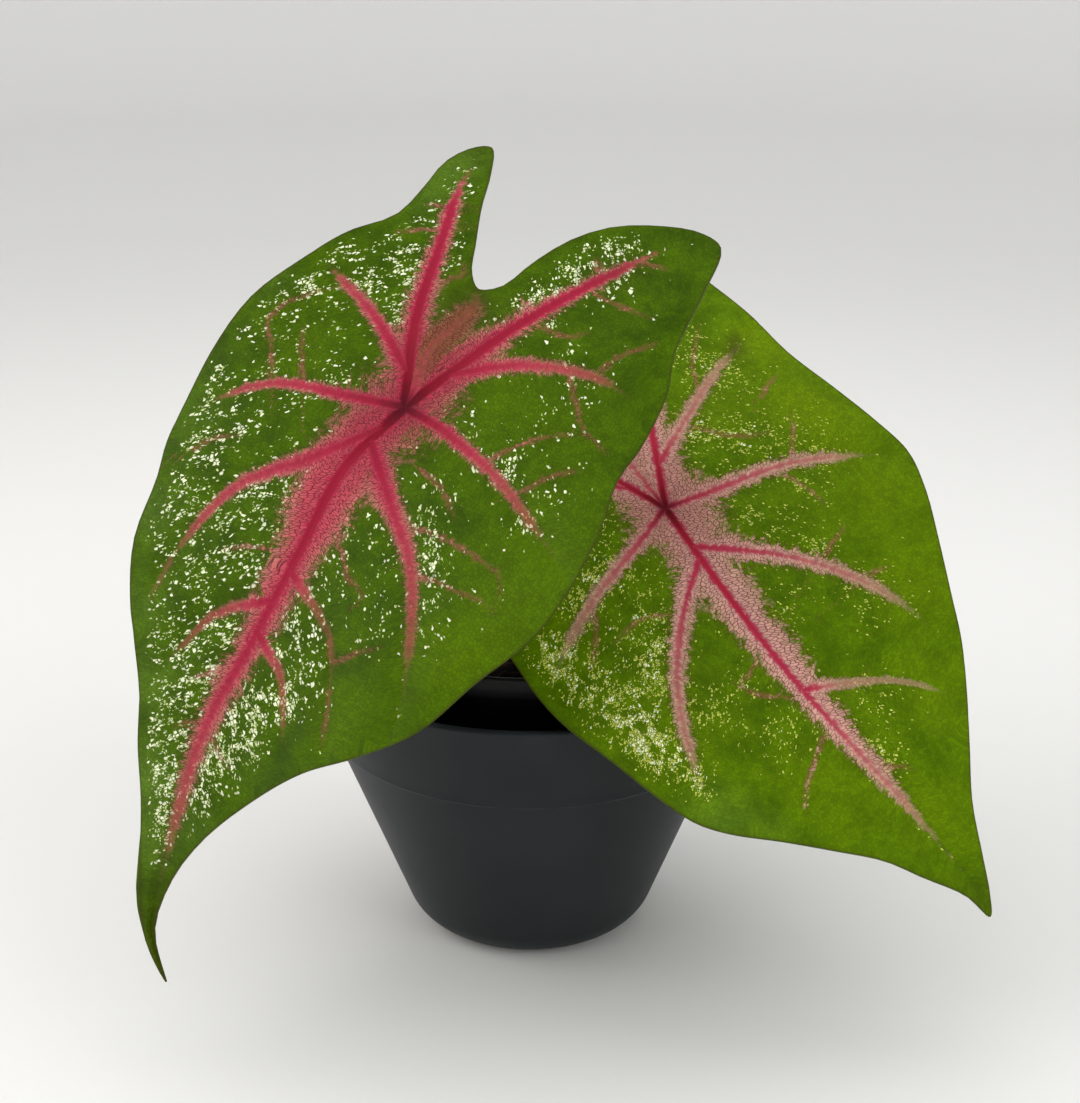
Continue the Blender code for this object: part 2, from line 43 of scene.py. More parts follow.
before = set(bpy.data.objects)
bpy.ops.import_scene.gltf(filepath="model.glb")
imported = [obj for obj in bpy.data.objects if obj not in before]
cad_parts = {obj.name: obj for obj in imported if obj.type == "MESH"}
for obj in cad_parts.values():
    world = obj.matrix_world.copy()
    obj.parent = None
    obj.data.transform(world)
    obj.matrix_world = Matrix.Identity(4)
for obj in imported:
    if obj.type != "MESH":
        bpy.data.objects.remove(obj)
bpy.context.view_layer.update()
MM = 0.001

# Shared sizes of the blades, in millimetres
MARGIN_THICKNESS, BLADE_THICKNESS = 0.66, 0.86
PAD_RADIUS, PAD_EASE, PAD_HEIGHT = 3.4, 2.4, 2.2
KEEL_REACH, MAIN_KEEL, SIDE_KEEL = 1.275, 1.5, 0.9
GROOVE_DEPTH, GROOVE_REACH = 0.15, 1.1
QUILT_HEIGHT, QUILT_REACH, QUILT_MARGIN = 0.5, 5.0, 8.0
FOLD_WIDTH, WAVE_REACH = 25.0, 24.0
# The pink round the stalk's place, and how a rib keeps or loses its strength
HUB_BLUSH, NO_BLUSH, RIB_FADE, FORK_STRENGTH, FORK_REACH = 13.0, -3.0, 0.25, 0.62, 7.0
# Room between the ribs in the pattern, so that none repeats another's cells
RIB_SPACING = 211.0
CURVE_STEPS = 24

# Patterns of the blades. Cells and flecks in millimetres, noises in waves a millimetre: the wobble of
# 2 mm, the mottling of 9 mm, and the clumps of 3 mm. The real cells are half as wide
OPEN_CELL, UNDER_CELL, FINE_FLECK = 1.2, 1.4, 0.5
WOBBLE_SCALE, MOTTLE_SCALE, CLUMP_SCALE = 0.45, 0.11, 0.36
FRINGE_LEAN, NET_MIDDLE, LEAF_IOR = -0.35, 0.03, 1.42

# A leaf's own plane: a runs from the stalk to the tip, b to the viewer's right, in millimetres.
# A rib is (points, strength at its start and end, width of its blush at its start and end, share of
# its length after which it has faded). A seam has no strength, and only divides the mesh.
# Patches of speckles, glow, haze (wider blush) and bruise are (a, b, radius, amount). Glow is painted
# light shining through the blade, and glow under zero is a painted sheen, the window's reflection.
SEAM = (0.0, 0.0, 0.0, 0.0, 1.0)
LEFT_LEAF = {
    "junction": (-34.2, -45.0, 181.8),
    "facing": 14.0, "tilt": 44.0, "heading": 22.6,
    "tip_curl": (0.0020, 1.5e-5), "lobe_curl": 0.0025, "droop": 0.0007, "fold": 0.10, "wave": (1.3, 7, 0.8),
    "outline": (
        (177, 12), (168, 3), (157, -2), (145, -7), (131, -13), (118, -20), (104, -26), (93, -33),
        (83, -40), (68, -48), (51, -52), (40, -56), (28, -58), (10, -60), (-8, -59), (-25, -53),
        (-40, -47), (-52, -39), (-64, -38), (-76, -38), (-84, -34), (-87, -29), (-78, -23),
        (-66, -18), (-54, -12), (-46, -8), (-42, -3), (-46, 2), (-58, 5), (-70, 10), (-79, 18),
        (-85, 30), (-88, 42), (-86, 50), (-70, 54), (-50, 57), (-38, 62), (-20, 65), (-8, 65),
        (8, 69), (24, 70), (40, 68), (58, 60), (76, 53), (89, 42), (101, 29), (116, 18), (132, 9),
        (148, 4), (165, 4),
    ),
    "midrib": (
        ((0, 0), (24, -5), (49, -3), (79, -2), (102, -3), (125, -1), (148, 1), (165, 3), (177, 12)),
        1.0, 0.08, 12.0, 0.8, 0.95,
    ),
    "notch": (((0, 0), (-7, -1), (-18, -4), (-28, -2), (-36, -1), (-42, -3)), 0.36, 0.22, 6.0, 3.5, 1.1),
    "left_lobe": (((0, 0), (-25, -13), (-49, -21), (-70, -28), (-87, -30)), 0.96, 0.45, 7.0, 2.0, 0.97),
    "right_lobe": (
        ((0, 0), (-16, 6), (-37, 14), (-59, 25), (-79, 37), (-87, 47)), 0.96, 0.45, 8.0, 1.5, 0.94,
    ),
    "left_ribs": (
        (((-10, -6), (-20, -24), (-26, -41), (-29, -51)), 0.64, 0.26, 4.0, 1.4, 0.97),
        (((0, 0), (5, -18), (11, -37), (23, -50), (34, -57)), 0.66, 0.26, 3.6, 1.2, 0.92),
        (((8, -2), (25, -15), (41, -29), (58, -34), (80, -36), (90, -35)), 0.64, 0.20, 4.5, 1.0, 0.86),
        (((51, -3), (55, -15), (64, -24), (86, -28), (97, -30)), *SEAM),
        (((65, -3), (70, -10), (76, -16), (84, -19), (94, -22), (106, -25)), 0.40, 0.1, 3.0, 0.6, 0.8),
        (((86, -2), (97, -12), (112, -17), (122, -18)), *SEAM),
    ),
    "right_ribs": (
        (((-14, 5), (-26, 22), (-32, 42), (-30, 63)), 0.64, 0.10, 4.5, 1.2, 0.94),
        (((0, 0), (1, 13), (6, 34), (14, 52), (23, 70)), 0.68, 0.06, 3.6, 1.2, 0.95),
        (((13, -3), (28, 15), (38, 27), (55, 38), (75, 46), (84, 47)), 0.68, 0.04, 5.0, 1.0, 0.94),
        (((33, -3), (47, 10), (55, 22), (72, 35), (90, 41)), *SEAM),
        (((55, -3), (59, 6), (62, 12), (68, 20), (78, 25), (88, 31), (98, 34)), 0.30, 0.0, 2.5, 0.5, 0.7),
        (((74, -2), (78, 5), (80, 9), (86, 14), (97, 20), (109, 24)), 0.36, 0.1, 2.6, 0.6, 0.8),
    ),
    "veinlets": (
        ((-61, -28), (-60, -31), (-59, -34)),
        ((-53, -25), (-50, -30), (-46, -35)),
        ((12, -38), (3, -44), (-4, -50), (-12, -48), (-17, -44), (-21, -40)),
        ((6, -31), (-1, -36), (-8, -40)),
        ((-36, -14), (-40, -12), (-44, -9), (-47, -12)),
        ((-40, 16), (-43, 12), (-46, 8)),
        ((-62, 24), (-65, 22), (-67, 20)),
        ((-70, 32), (-72, 37), (-72, 42)),
        ((-56, 26), (-55, 31), (-55, 36), (-56, 46)),
        ((-39, 19), (-39, 25), (-40, 29), (-44, 34)),
        ((-35, 43), (-41, 45), (-45, 48), (-50, 52)),
        ((-28, 37), (-24, 41), (-20, 45), (-16, 49), (-15, 53), (-13, 59)),
        ((2, 31), (-5, 36), (-10, 41), (-15, 49)),
        ((6, 44), (0, 48), (-6, 55)),
        ((29, 23), (28, 30), (28, 36), (29, 46), (30, 51), (36, 55)),
        ((40, 31), (39, 38), (39, 45), (38, 50), (40, 56)),
        ((33, -3), (39, 3), (45, 9), (49, 13), (52, 20), (57, 19)),
        ((66, 18), (71, 22), (66, 27), (61, 33)),
        ((78, 25), (84, 28), (92, 31)),
        ((53, -3), (53, -11), (55, -17), (59, -23)),
        ((68, -35), (75, -35), (81, -35)),
        ((84, -2), (88, -6), (91, -10), (94, -14)),
        ((98, -2), (102, -5), (108, -12)),
        ((101, -3), (106, 2), (110, 9)),
        ((39, -47), (33, -43), (29, -37)),
        ((14, 15), (16, 23), (22, 32)),
    ),
    "speckles": (
        (-70, -27, 7, 0.6), (-57, -24, 5, 0.5), (-48, -16, 5, 0.6), (-42, -28, 6, 1.0), (-33, -22, 5, 1.0),
        (-28, -32, 4, 1.6), (-37, -41, 5, 0.7), (-19, -35, 4, 0.5), (-18, -48, 5, 1.5), (-30, -46, 4, 0.6),
        (-3, -55, 7, 0.6), (16, -54, 5, 0.8), (-5, -42, 5, 0.3), (10, -42, 5, 0.6), (2, -23, 5, 0.5),
        (-10, -31, 6, 0.2), (11, -28, 5, 0.5), (-24, -19, 4, 0.8), (-54, -33, 6, 0.4),
        (-65, 17, 5, 0.6), (-60, 15, 4, 1.0), (-57, 20, 4, 1.0), (-73, 23, 6, 1.2), (-50, 15, 4, 1.0),
        (-45, 12, 4, 0.8), (-38, 11, 4, 0.4), (-62, 30, 5, 1.0), (-54, 25, 4, 0.5), (-40, 23, 3, 0.8),
        (-33, 33, 3, 1.2), (-27, 42, 4, 0.4), (-17, 37, 6, 0.2), (-3, 20, 5, 0.2), (3, 36, 3, 0.9),
        (-3, 37, 5, 0.2), (6, 50, 7, 0.25), (15, 50, 5, 0.4), (18, 20, 5, 0.3), (13, 32, 7, 0.2),
        (22, -54, 5, 1.0), (30, -43, 6, 0.9), (24, -36, 6, 0.6), (36, -50, 6, 0.5), (42, -41, 5, 0.5),
        (55, -40, 8, 0.9), (54, -46, 6, 0.4), (66, -40, 5, 0.4), (42, -24, 6, 1.0), (51, -26, 5, 0.7),
        (60, -22, 6, 0.5), (68, -28, 6, 0.5), (73, -21, 5, 0.5), (80, -27, 6, 0.5), (89, -25, 5, 0.8),
        (30, -20, 4, 0.9), (36, -15, 5, 0.7), (44, -13, 5, 0.5), (60, -12, 7, 0.5), (78, -13, 5, 1.0),
        (86, -17, 5, 0.6), (88, -8, 4, 1.3), (97, -12, 6, 1.2), (101, -19, 5, 0.7), (112, -12, 6, 1.3),
        (120, -10, 6, 1.3), (131, -7, 6, 1.2), (110, -18, 7, 0.5), (139, -5, 5, 0.5),
        (35, 14, 4, 0.5), (42, 9, 4, 0.5), (55, 7, 5, 0.9), (66, 4, 4, 0.7), (65, 13, 4, 0.5),
        (73, 9, 5, 1.3), (82, 13, 5, 1.1), (73, 18, 4, 0.6), (87, 17, 4, 1.2), (92, 9, 5, 1.6),
        (92, 3, 4, 0.8), (100, 6, 5, 1.0), (103, 12, 5, 1.0), (106, 2, 6, 0.9), (114, 4, 6, 1.0),
        (125, 5, 7, 0.7), (38, 22, 5, 0.5), (48, 21, 7, 0.4), (57, 27, 6, 0.4), (80, 21, 5, 0.3),
        (26, 23, 4, 0.6), (30, 27, 4, 0.9), (35, 33, 4, 1.1), (44, 38, 4, 0.7), (53, 42, 5, 0.3),
    ),
    # Painted light: glow patches where light shines through the blade; under zero, a painted sheen
    "glow": (
        (2, 22, 9, 0.6), (56, 52, 14, 0.8), (34, 60, 16, 0.6), (-14, 44, 14, 0.35), (84, 34, 12, 0.6),
        (14, 60, 14, 0.5), (-20, -38, 12, 0.2), (-2, -32, 12, 0.4), (-17, 22, 9, 0.6), (-16, -56, 8, -0.3),
        (30, -56, 9, -0.3), (60, -48, 9, -0.5), (84, -38, 9, -0.5), (101, -25, 9, -0.6), (125, -14, 10, -0.8),
        (141, -6, 8, -0.6), (-76, -35, 9, -0.6), (-62, -35, 7, -0.4), (108, 16, 8, -0.2), (130, 7, 8, -0.4),
    ),
    "haze": (
        (26, -12, 11, 0.45), (40, -12, 9, 0.35), (26, 5, 9, 0.40), (40, 3, 8, 0.3), (-14, -2, 10, 0.5),
        (-26, 1, 9, 0.40), (-14, 8, 8, 0.3), (60, -5, 8, 0.2), (10, -10, 8, 0.4),
    ),
    "bruise": (
        (-84, -33, 6, 0.3), (-66, 29, 7, 0.4), (-21, -2, 8, 0.4), (-35, -2, 9, 0.55), (170, 5, 14, 0.5),
    ),
}

RIGHT_LEAF = {
    "junction": (40.4, -10.0, 139.5),
    "facing": -4.0, "tilt": 56.0, "heading": -28.0,
    "tip_curl": (0.0012, 0.8e-5), "lobe_curl": 0.0025, "droop": 0.0006, "fold": 0.10, "wave": (1.2, 6, 2.1),
    "outline": (
        (151, 12), (143, 9), (133, 1), (124, -6), (115, -17), (106, -29), (97, -42), (90, -49),
        (78, -55), (64, -60), (50, -65), (38, -67), (24, -67), (8, -67), (-10, -65), (-28, -63),
        (-46, -62), (-62, -60), (-76, -57), (-87, -51), (-93, -42), (-91, -32), (-84, -24),
        (-74, -17), (-62, -11), (-50, -6), (-42, -1), (-48, 5), (-60, 9), (-72, 15), (-83, 23),
        (-91, 34), (-94, 46), (-89, 57), (-80, 62), (-66, 64), (-50, 66), (-32, 67), (-12, 71),
        (6, 74), (20, 75), (34, 71), (50, 64), (66, 57), (80, 51), (94, 43), (108, 34), (122, 25),
        (136, 19), (146, 15),
    ),
    "midrib": (
        ((0, 0), (28, -1), (62, 0), (92, 4), (119, 9), (140, 12), (151, 12)), 1.0, 0.1, 11.0, 0.8, 0.97,
    ),
    "notch": (((0, 0), (-20, 0), (-42, -1)), 0.5, 0.3, 7.0, 4.0, 1.1),
    "left_lobe": (((0, 0), (-16, -7), (-40, -18), (-65, -32), (-92, -45)), 0.9, 0.35, 9.0, 2.0, 0.9),
    "right_lobe": (
        ((0, 0), (-19, 9), (-32, 15), (-50, 24), (-70, 37), (-93, 50)), 0.9, 0.35, 9.0, 2.0, 0.9,
    ),
    "left_ribs": (
        (((-12, -6), (-24, -22), (-36, -43), (-44, -62)), 0.6, 0.2, 4.5, 1.5, 0.9),
        (((0, 0), (7, -14), (18, -37), (31, -56), (41, -67)), 0.58, 0.14, 4.0, 1.6, 0.93),
        (((20, -1), (34, -16), (54, -31), (77, -40), (96, -43)), 0.58, 0.22, 5.0, 1.8, 0.93),
        (((52, -1), (64, -11), (78, -20), (104, -31)), *SEAM),
        (((84, 2), (87, -4), (91, -9), (96, -15), (102, -19), (111, -22)), *SEAM),
    ),
    "right_ribs": (
        (((-14, 6), (-24, 22), (-37, 44), (-46, 66)), 0.5, 0.14, 4.5, 1.6, 0.93),
        (((0, 0), (2, 17), (5, 40), (12, 58), (21, 75)), 0.58, 0.24, 4.6, 2.2, 0.92),
        (((16, 0), (29, 18), (44, 32), (62, 42), (86, 48)), 0.62, 0.14, 5.2, 1.8, 0.88),
        (((44, -1), (56, 12), (70, 27), (97, 42)), *SEAM),
        (((71, 1), (75, 13), (80, 24), (86, 32), (92, 37), (101, 39)), 0.30, 0.12, 2.4, 0.8, 0.92),
    ),
    "veinlets": (
        ((5, 42), (-1, 47), (-10, 53)),
        ((-20, 49), (-23, 54), (-25, 59)),
        ((7, 37), (15, 40), (23, 42)),
        ((38, 31), (35, 37), (32, 43)),
        ((70, -6), (66, -12), (60, -16)),
        ((98, 5), (102, 10), (106, 16)),
        ((84, 2), (87, -4), (91, -9), (96, -15), (102, -19)),
        ((56, -3), (59, -9), (62, -16)),
        ((51, 35), (50, 41), (50, 46)),
        ((18, -37), (28, -42), (38, -50)),
        ((34, -16), (30, -28), (34, -40)),
        ((-24, 22), (-12, 32), (-6, 44)),
        ((-30, 33), (-42, 38), (-56, 50)),
    ),
    "speckles": (
        (24, -60, 5, 1.1), (27, -55, 5, 1.0), (34, -56, 5, 0.8), (46, -57, 7, 0.8), (53, -51, 7, 0.7),
        (62, -51, 7, 1.0), (69, -47, 6, 1.0), (61, -45, 5, 0.8), (74, -43, 5, 0.6), (81, -42, 4, 0.6),
        (42, -48, 6, 0.6), (42, -33, 5, 0.8), (49, -35, 5, 0.7), (52, -41, 5, 0.6), (38, -29, 4, 0.6),
        (30, -24, 5, 0.4), (13, -35, 5, 0.6), (18, -30, 5, 0.4), (9, -25, 5, 0.5), (22, -41, 5, 0.4),
        (4, -32, 6, 0.4), (29, -48, 5, 0.4), (14, -45, 6, 0.5), (31, -36, 7, 0.3), (20, -20, 5, 0.3),
        (62, -28, 7, 0.4), (72, -20, 7, 0.2), (63, -13, 6, 0.3), (80, -12, 7, 0.35), (-8, -22, 6, 0.5),
        (98, 10, 6, 0.3), (82, 18, 7, 0.3), (19, 18, 6, 0.4), (8, 20, 6, 0.3), (-16, 24, 8, 0.45),
        (-8, 36, 9, 0.4), (-30, 45, 8, 0.3), (12, 40, 8, 0.25), (24, 32, 8, 0.2), (35, 31, 5, 0.35),
        (2, 54, 7, 0.25), (46, 14, 7, 0.3), (56, 34, 9, 0.2), (-42, 42, 8, 0.3), (-40, -36, 12, 0.4),
        (-52, 36, 10, 0.3),
    ),
    # Painted light: glow patches where light shines through the blade; under zero, a painted sheen
    "glow": (
        (-40, 62, 12, 1.0), (-12, 56, 11, 1.0), (-24, 34, 12, 0.5), (4, 62, 14, 0.7), (60, 50, 14, 0.6),
        (90, 34, 12, 0.5), (30, 58, 14, 0.6), (20, 34, 9, 0.3), (60, -40, 16, 0.3), (100, -12, 14, 0.5),
        (120, 14, 12, 0.5), (6, -46, 12, 0.3), (20, -14, 9, 0.2), (92, -42, 10, -0.4), (103, -26, 9, -0.3),
    ),
    "haze": (
        (14, 12, 9, 0.45), (36, 8, 9, 0.40), (54, 8, 8, 0.55), (64, 8, 7, 0.52), (84, 10, 7, 0.47),
        (98, 10, 6, 0.35), (24, -8, 8, 0.35), (44, -5, 7, 0.15), (-10, 8, 9, 0.35), (-14, -2, 10, 0.5),
        (6, -6, 7, 0.3), (2, 8, 8, 0.3), (-24, 2, 10, 0.4), (76, 5, 7, 0.25),
    ),
    "bruise": ((-41, 53, 3.5, 1.0), (-45, 56, 2.5, 0.7), (148, 12, 8, 0.4)),
}

LEFT_STALK = {"foot": (-19.0, -10.0), "bend": (-34.0, -26.0, 134.0), "radii": (3.1, 2.2)}
RIGHT_STALK = {"foot": (9.0, 3.0), "bend": (26.0, 4.0, 118.0), "radii": (2.9, 2.1)}

# Sizes of the pots and the soil, in millimetres, as the solids have them
COLLAR_HEIGHT, COLLAR_STEP, COLLAR_SLOPE = 66.0, 0.5, 0.30
WALL_RADIUS_AT_TABLE, LOWER_WALL_SLOPE = 35.8, 0.388
CACHEPOT_WALL, FOOT_FILLET, INNER_FILLET, CACHEPOT_FLOOR = 2.2, 14.0, 9.0, 2.6
NURSERY_SEAT, NURSERY_FILLET, NURSERY_FLOOR = 17.0, 1.5, 1.6
NURSERY_RIM_RADIUS, NURSERY_RIM_HEIGHT, NURSERY_BAND, NURSERY_WALL = 59.5, 106.0, 7.0, 1.2
CONTACT_GAP, SOIL_LEVEL, SOIL_CRUMB = 0.3, 99.5, 1.3
FLOOR_SIDES = 128
# Faces that meet at more than this many degrees stay sharp
BLADE_CREASE, POT_CREASE = 60, 45

# Colours and patterns of the blades' finishes. Lengths are in millimetres
SHARED_LOOK = {
    # The first colour, a pale bluish green, is a painted sheen: the window's reflection on the waxy blades
    "bloom": "#84aa46", "rim": "#3c3a14", "sore": "#3a3410", "under": "#7f9a56", "under_deep": "#66864a",
    "under_net": "#a3b87c", "under_blush": "#c08a80", "under_rib": "#bd7472",
}
LEFT_LOOK = {
    "net": "#481520", "net_depth": 0.85, "net_width": 0.15, "green_net": "#22340a", "hub": "#47101a",
    "deep_core": "#6e0c1c", "dusk": 0.45, "dusky": "#701628", "wane": 0.1, "hair": 0.66,
    "hair_squash": 0.36, "hair_reach": 7.0, "fingers": 1.0, "soft": 0.28, "thin": 0.42, "fine": "#c9d592",
    "fine_flecks": 0.34, "big": 0.84, "big_flecks": 0.46, "big_from": 0.0, "veinlet": "#80503a",
    "fray": 1.8, "band": 2.5, "band_end": 0.8, "core_width": 1.5, "band_near": "#aa2e48",
    "band_far": "#9c4a4c",
}
RIGHT_LOOK = {
    "net": "#54231d", "net_depth": 0.92, "net_width": 0.13, "green_net": "#2e420a", "hub": "#41090b",
    "deep_core": "#760f18", "dusk": 0.40, "dusky": "#6e2426", "wane": 0.22, "hair": 0.9,
    "hair_squash": 0.52, "hair_reach": 9.0, "fingers": 1.1, "soft": 0.18, "thin": 0.5, "fine": "#c6ca60",
    "fine_flecks": 0.9, "big": 0.62, "big_flecks": 0.50, "big_from": 0.25, "veinlet": "#84583a",
    "fray": 1.1, "band": 1.5, "band_end": 0.75, "core_width": 0.95, "band_near": "#ac3c56",
    "band_far": "#94604e",
}
# Colours that a user may change on each leaf, as the right leaf has them. LeafColours holds the left's
RIGHT_TINTS = {
    # The glow colour is a painted glow: the yellow-green of light shining through the blade
    "green": "#547200", "deep": "#446000", "glow": "#647f00", "blush": "#c8948a", "blush_edge": "#b8927a",
    "core": "#9d2134", "cream": "#eef2cf",
}


def linear(code):
    """An sRGB hex colour as linear values, opaque."""
    parts = np.array([int(code[k:k + 2], 16) for k in (1, 3, 5)]) / 255
    parts = np.where(parts <= 0.04045, parts / 12.92, ((parts + 0.055) / 1.055) ** 2.4)
    return (*(float(part) for part in parts), 1.0)


def add(tree, kind, *inputs, out=0, **settings):
    """Add a shader node of a kind, given with its operation if it has one. Link or set its inputs, in
    order or by a dict of names or numbers, and give back one of its outputs, or all."""
    kind, _, operation = kind.partition(" ")
    node = tree.nodes.new("ShaderNode" + kind)
    if operation:
        node.operation = operation
    for name, value in settings.items():
        setattr(node, name, value)
    named = inputs[0] if inputs and isinstance(inputs[0], dict) else dict(enumerate(inputs))
    for key, value in named.items():
        if isinstance(value, bpy.types.NodeSocket):
            tree.links.new(value, node.inputs[key])
        else:
            node.inputs[key].default_value = value
    return node.outputs if out is None else node.outputs[out]


def eased(share):
    """An S-shaped ramp from 0 to 1: three times the square less twice the cube."""
    share = np.clip(share, 0.0, 1.0)
    return share * share * (3.0 - 2.0 * share)


def bell(away, reach):
    """A bell-shaped falloff: 1 at no distance, 0.37 at the reach."""
    return np.exp(-((away / reach) ** 2))


def with_run(dense):
    """A curve's points with the running length at each."""
    steps = np.linalg.norm(np.diff(dense, axis=0), axis=1)
    return dense, np.concatenate([[0.0], np.cumsum(steps)])


def smooth_curve(controls, closed=False):
    """A dense centripetal Catmull-Rom curve through the control points, with its running length."""
    pts = np.array(controls, float)
    if closed:
        pts = np.vstack([pts[-1], pts, pts[:2]])
    else:
        pts = np.vstack([2 * pts[0] - pts[1], pts, 2 * pts[-1] - pts[-2]])
    p0, p1, p2, p3 = (pts[k:len(pts) - 3 + k, None] for k in range(4))
    t1 = np.linalg.norm(p1 - p0, axis=2, keepdims=True) ** 0.5
    t2 = t1 + np.linalg.norm(p2 - p1, axis=2, keepdims=True) ** 0.5
    t3 = t2 + np.linalg.norm(p3 - p2, axis=2, keepdims=True) ** 0.5
    t = t1 + (t2 - t1) * np.linspace(0.0, 1.0, CURVE_STEPS, endpoint=False)[None, :, None]
    a1 = (t1 - t) / t1 * p0 + t / t1 * p1
    a2 = (t2 - t) / (t2 - t1) * p1 + (t - t1) / (t2 - t1) * p2
    a3 = (t3 - t) / (t3 - t2) * p2 + (t - t2) / (t3 - t2) * p3
    b1 = (t2 - t) / t2 * a1 + t / t2 * a2
    b2 = (t3 - t) / (t3 - t1) * a2 + (t - t1) / (t3 - t1) * a3
    dense = ((t2 - t) / (t2 - t1) * b1 + (t - t1) / (t2 - t1) * b2).reshape(-1, pts.shape[1])
    return with_run(np.vstack([dense, pts[-2:-1]]))


def at_run(curve, wanted):
    """Points of a curve at the wanted running lengths."""
    dense, run = curve
    return np.stack([np.interp(wanted, run, dense[:, k]) for k in range(dense.shape[1])], axis=-1)


def distance_to(points, curve):
    """Distance of each point to a curve, the running length there, and the side that it lies on."""
    line, run = curve
    starts, reach = line[:-1], np.diff(line, axis=0)
    span = np.maximum((reach ** 2).sum(1), 1e-12)
    gap = np.empty(len(points))
    where = np.empty(len(points))
    side = np.empty(len(points))
    for part in np.array_split(np.arange(len(points)), max(1, len(points) // 4000)):
        offset = points[part][:, None] - starts[None]
        share = np.clip((offset * reach).sum(2) / span, 0.0, 1.0)
        miss = offset - share[..., None] * reach
        length = np.linalg.norm(miss, axis=2)
        near = length.argmin(1)
        rows = np.arange(len(part))
        gap[part] = length[rows, near]
        where[part] = run[near] + share[rows, near] * (run[near + 1] - run[near])
        turn = reach[near, 0] * miss[rows, near, 1] - reach[near, 1] * miss[rows, near, 0]
        side[part] = np.sign(turn)
    return gap, where, side


def sheet(leaf, flat):
    """The blade's middle layer: turned steadily down towards the tip and back along the lobes, with a
    parabola's droop and a rounded fold across."""
    a, b = flat[:, 0], flat[:, 1]
    first, second = leaf["tip_curl"]
    shares = np.append((np.arange(40) + 0.5) / 40, 1.0)
    along = a[:, None] * shares
    bend = np.where(along > 0, first * along + second * along ** 2, leaf["lobe_curl"] * along)
    x = np.cos(bend[:, :-1]).mean(1) * a
    z = -np.sin(bend[:, :-1]).mean(1) * a
    end = bend[:, -1]
    rise = leaf["fold"] * (np.hypot(b, FOLD_WIDTH) - FOLD_WIDTH) - leaf["droop"] * b ** 2
    return np.column_stack([x + rise * np.sin(end), b, z + rise * np.cos(end)])


def sheet_normals(leaf, flat):
    """Unit normals of the middle layer, from its slopes along a and b."""
    step = 0.5
    across_a = sheet(leaf, flat + (step, 0.0)) - sheet(leaf, flat - (step, 0.0))
    across_b = sheet(leaf, flat + (0.0, step)) - sheet(leaf, flat - (0.0, step))
    normal = np.cross(across_a, across_b)
    return normal / np.linalg.norm(normal, axis=1, keepdims=True)


def leaf_matrix(leaf):
    """World placement of a leaf's own plane."""
    facing, tilt, heading = (math.radians(leaf[k]) for k in ("facing", "tilt", "heading"))
    level, rise = math.cos(tilt), math.sin(tilt)
    up = Vector((-math.sin(facing) * level, -math.cos(facing) * level, rise))
    downhill = Vector((-math.sin(facing) * rise, -math.cos(facing) * rise, -level))
    sideways = Vector((math.cos(facing), -math.sin(facing), 0.0))
    along = downhill * math.cos(heading) - sideways * math.sin(heading)
    turn = Matrix((along, up.cross(along), up)).transposed().to_4x4()
    return Matrix.Translation(Vector(leaf["junction"])) @ turn


def panel(first, second, spine, margin, rows, columns):
    """A patch between two ribs, blended from its four sides: the two ribs, the stretch of spine
    between their starts and the stretch of margin between their ends."""
    u = np.linspace(0.0, 1.0, rows + 1)
    v = 0.5 - 0.5 * np.cos(np.pi * np.linspace(0.0, 1.0, columns + 1))
    rib_0, rib_1 = (at_run(c, s + (e - s) * u)[:, None] for c, s, e in (first, second))
    start, end = (at_run(c, s + (e - s) * v)[None] for c, s, e in (spine, margin))
    u, v = u[:, None, None], v[None, :, None]
    ruled = (1 - v) * rib_0 + v * rib_1 + (1 - u) * start + u * end
    corners = (1 - u) * ((1 - v) * rib_0[:1] + v * rib_1[:1])
    corners = corners + u * ((1 - v) * rib_0[-1:] + v * rib_1[-1:])
    return ruled - corners


def blade_panels(leaf, rows, columns):
    """All patches of a flat blade: for each half a fan beside the notch, then one patch from rib to
    rib along the spine that joins the lobe's rib to the midrib."""
    outline = smooth_curve(leaf["outline"], closed=True)
    whole = outline[1][-1]
    midrib = smooth_curve(leaf["midrib"][0])
    notch = smooth_curve(leaf["notch"][0])
    patches = []
    for side in ("left", "right"):
        lobe = smooth_curve(leaf[side + "_lobe"][0])
        back = lobe[1][-1]
        spine = (
            np.vstack([lobe[0][::-1], midrib[0][1:]]),
            np.concatenate([back - lobe[1][::-1], back + midrib[1][1:]]),
        )
        tip = 0.0 if side == "left" else whole
        ribs = [(spine, None, 0.0, distance_to(lobe[0][-1:], outline)[1][0])]
        for rib in leaf[side + "_ribs"]:
            line = smooth_curve(rib[0])
            root = distance_to(line[0][:1], spine)[1][0]
            ribs.append((line, root, line[1][-1], distance_to(line[0][-1:], outline)[1][0]))
        ribs.append((spine, None, spine[1][-1], tip))
        low = distance_to(notch[0][-1:], outline)[1][0]
        patches.append(panel(
            (notch, 0.0, notch[1][-1]), (spine, back, 0.0), (midrib, 0.0, 0.0),
            (outline, low, ribs[0][3]), rows, columns,
        ))
        for one, two in zip(ribs, ribs[1:]):
            root_1 = two[1] if one[1] is None else one[1]
            root_2 = one[1] if two[1] is None else two[1]
            side_1 = (spine, root_1, 0.0) if one[1] is None else (one[0], 0.0, one[2])
            side_2 = (spine, root_2, two[2]) if two[1] is None else (two[0], 0.0, two[2])
            patches.append(panel(
                side_1, side_2, (spine, root_1, root_2), (outline, one[3], two[3]), rows, columns,
            ))
    return patches, outline


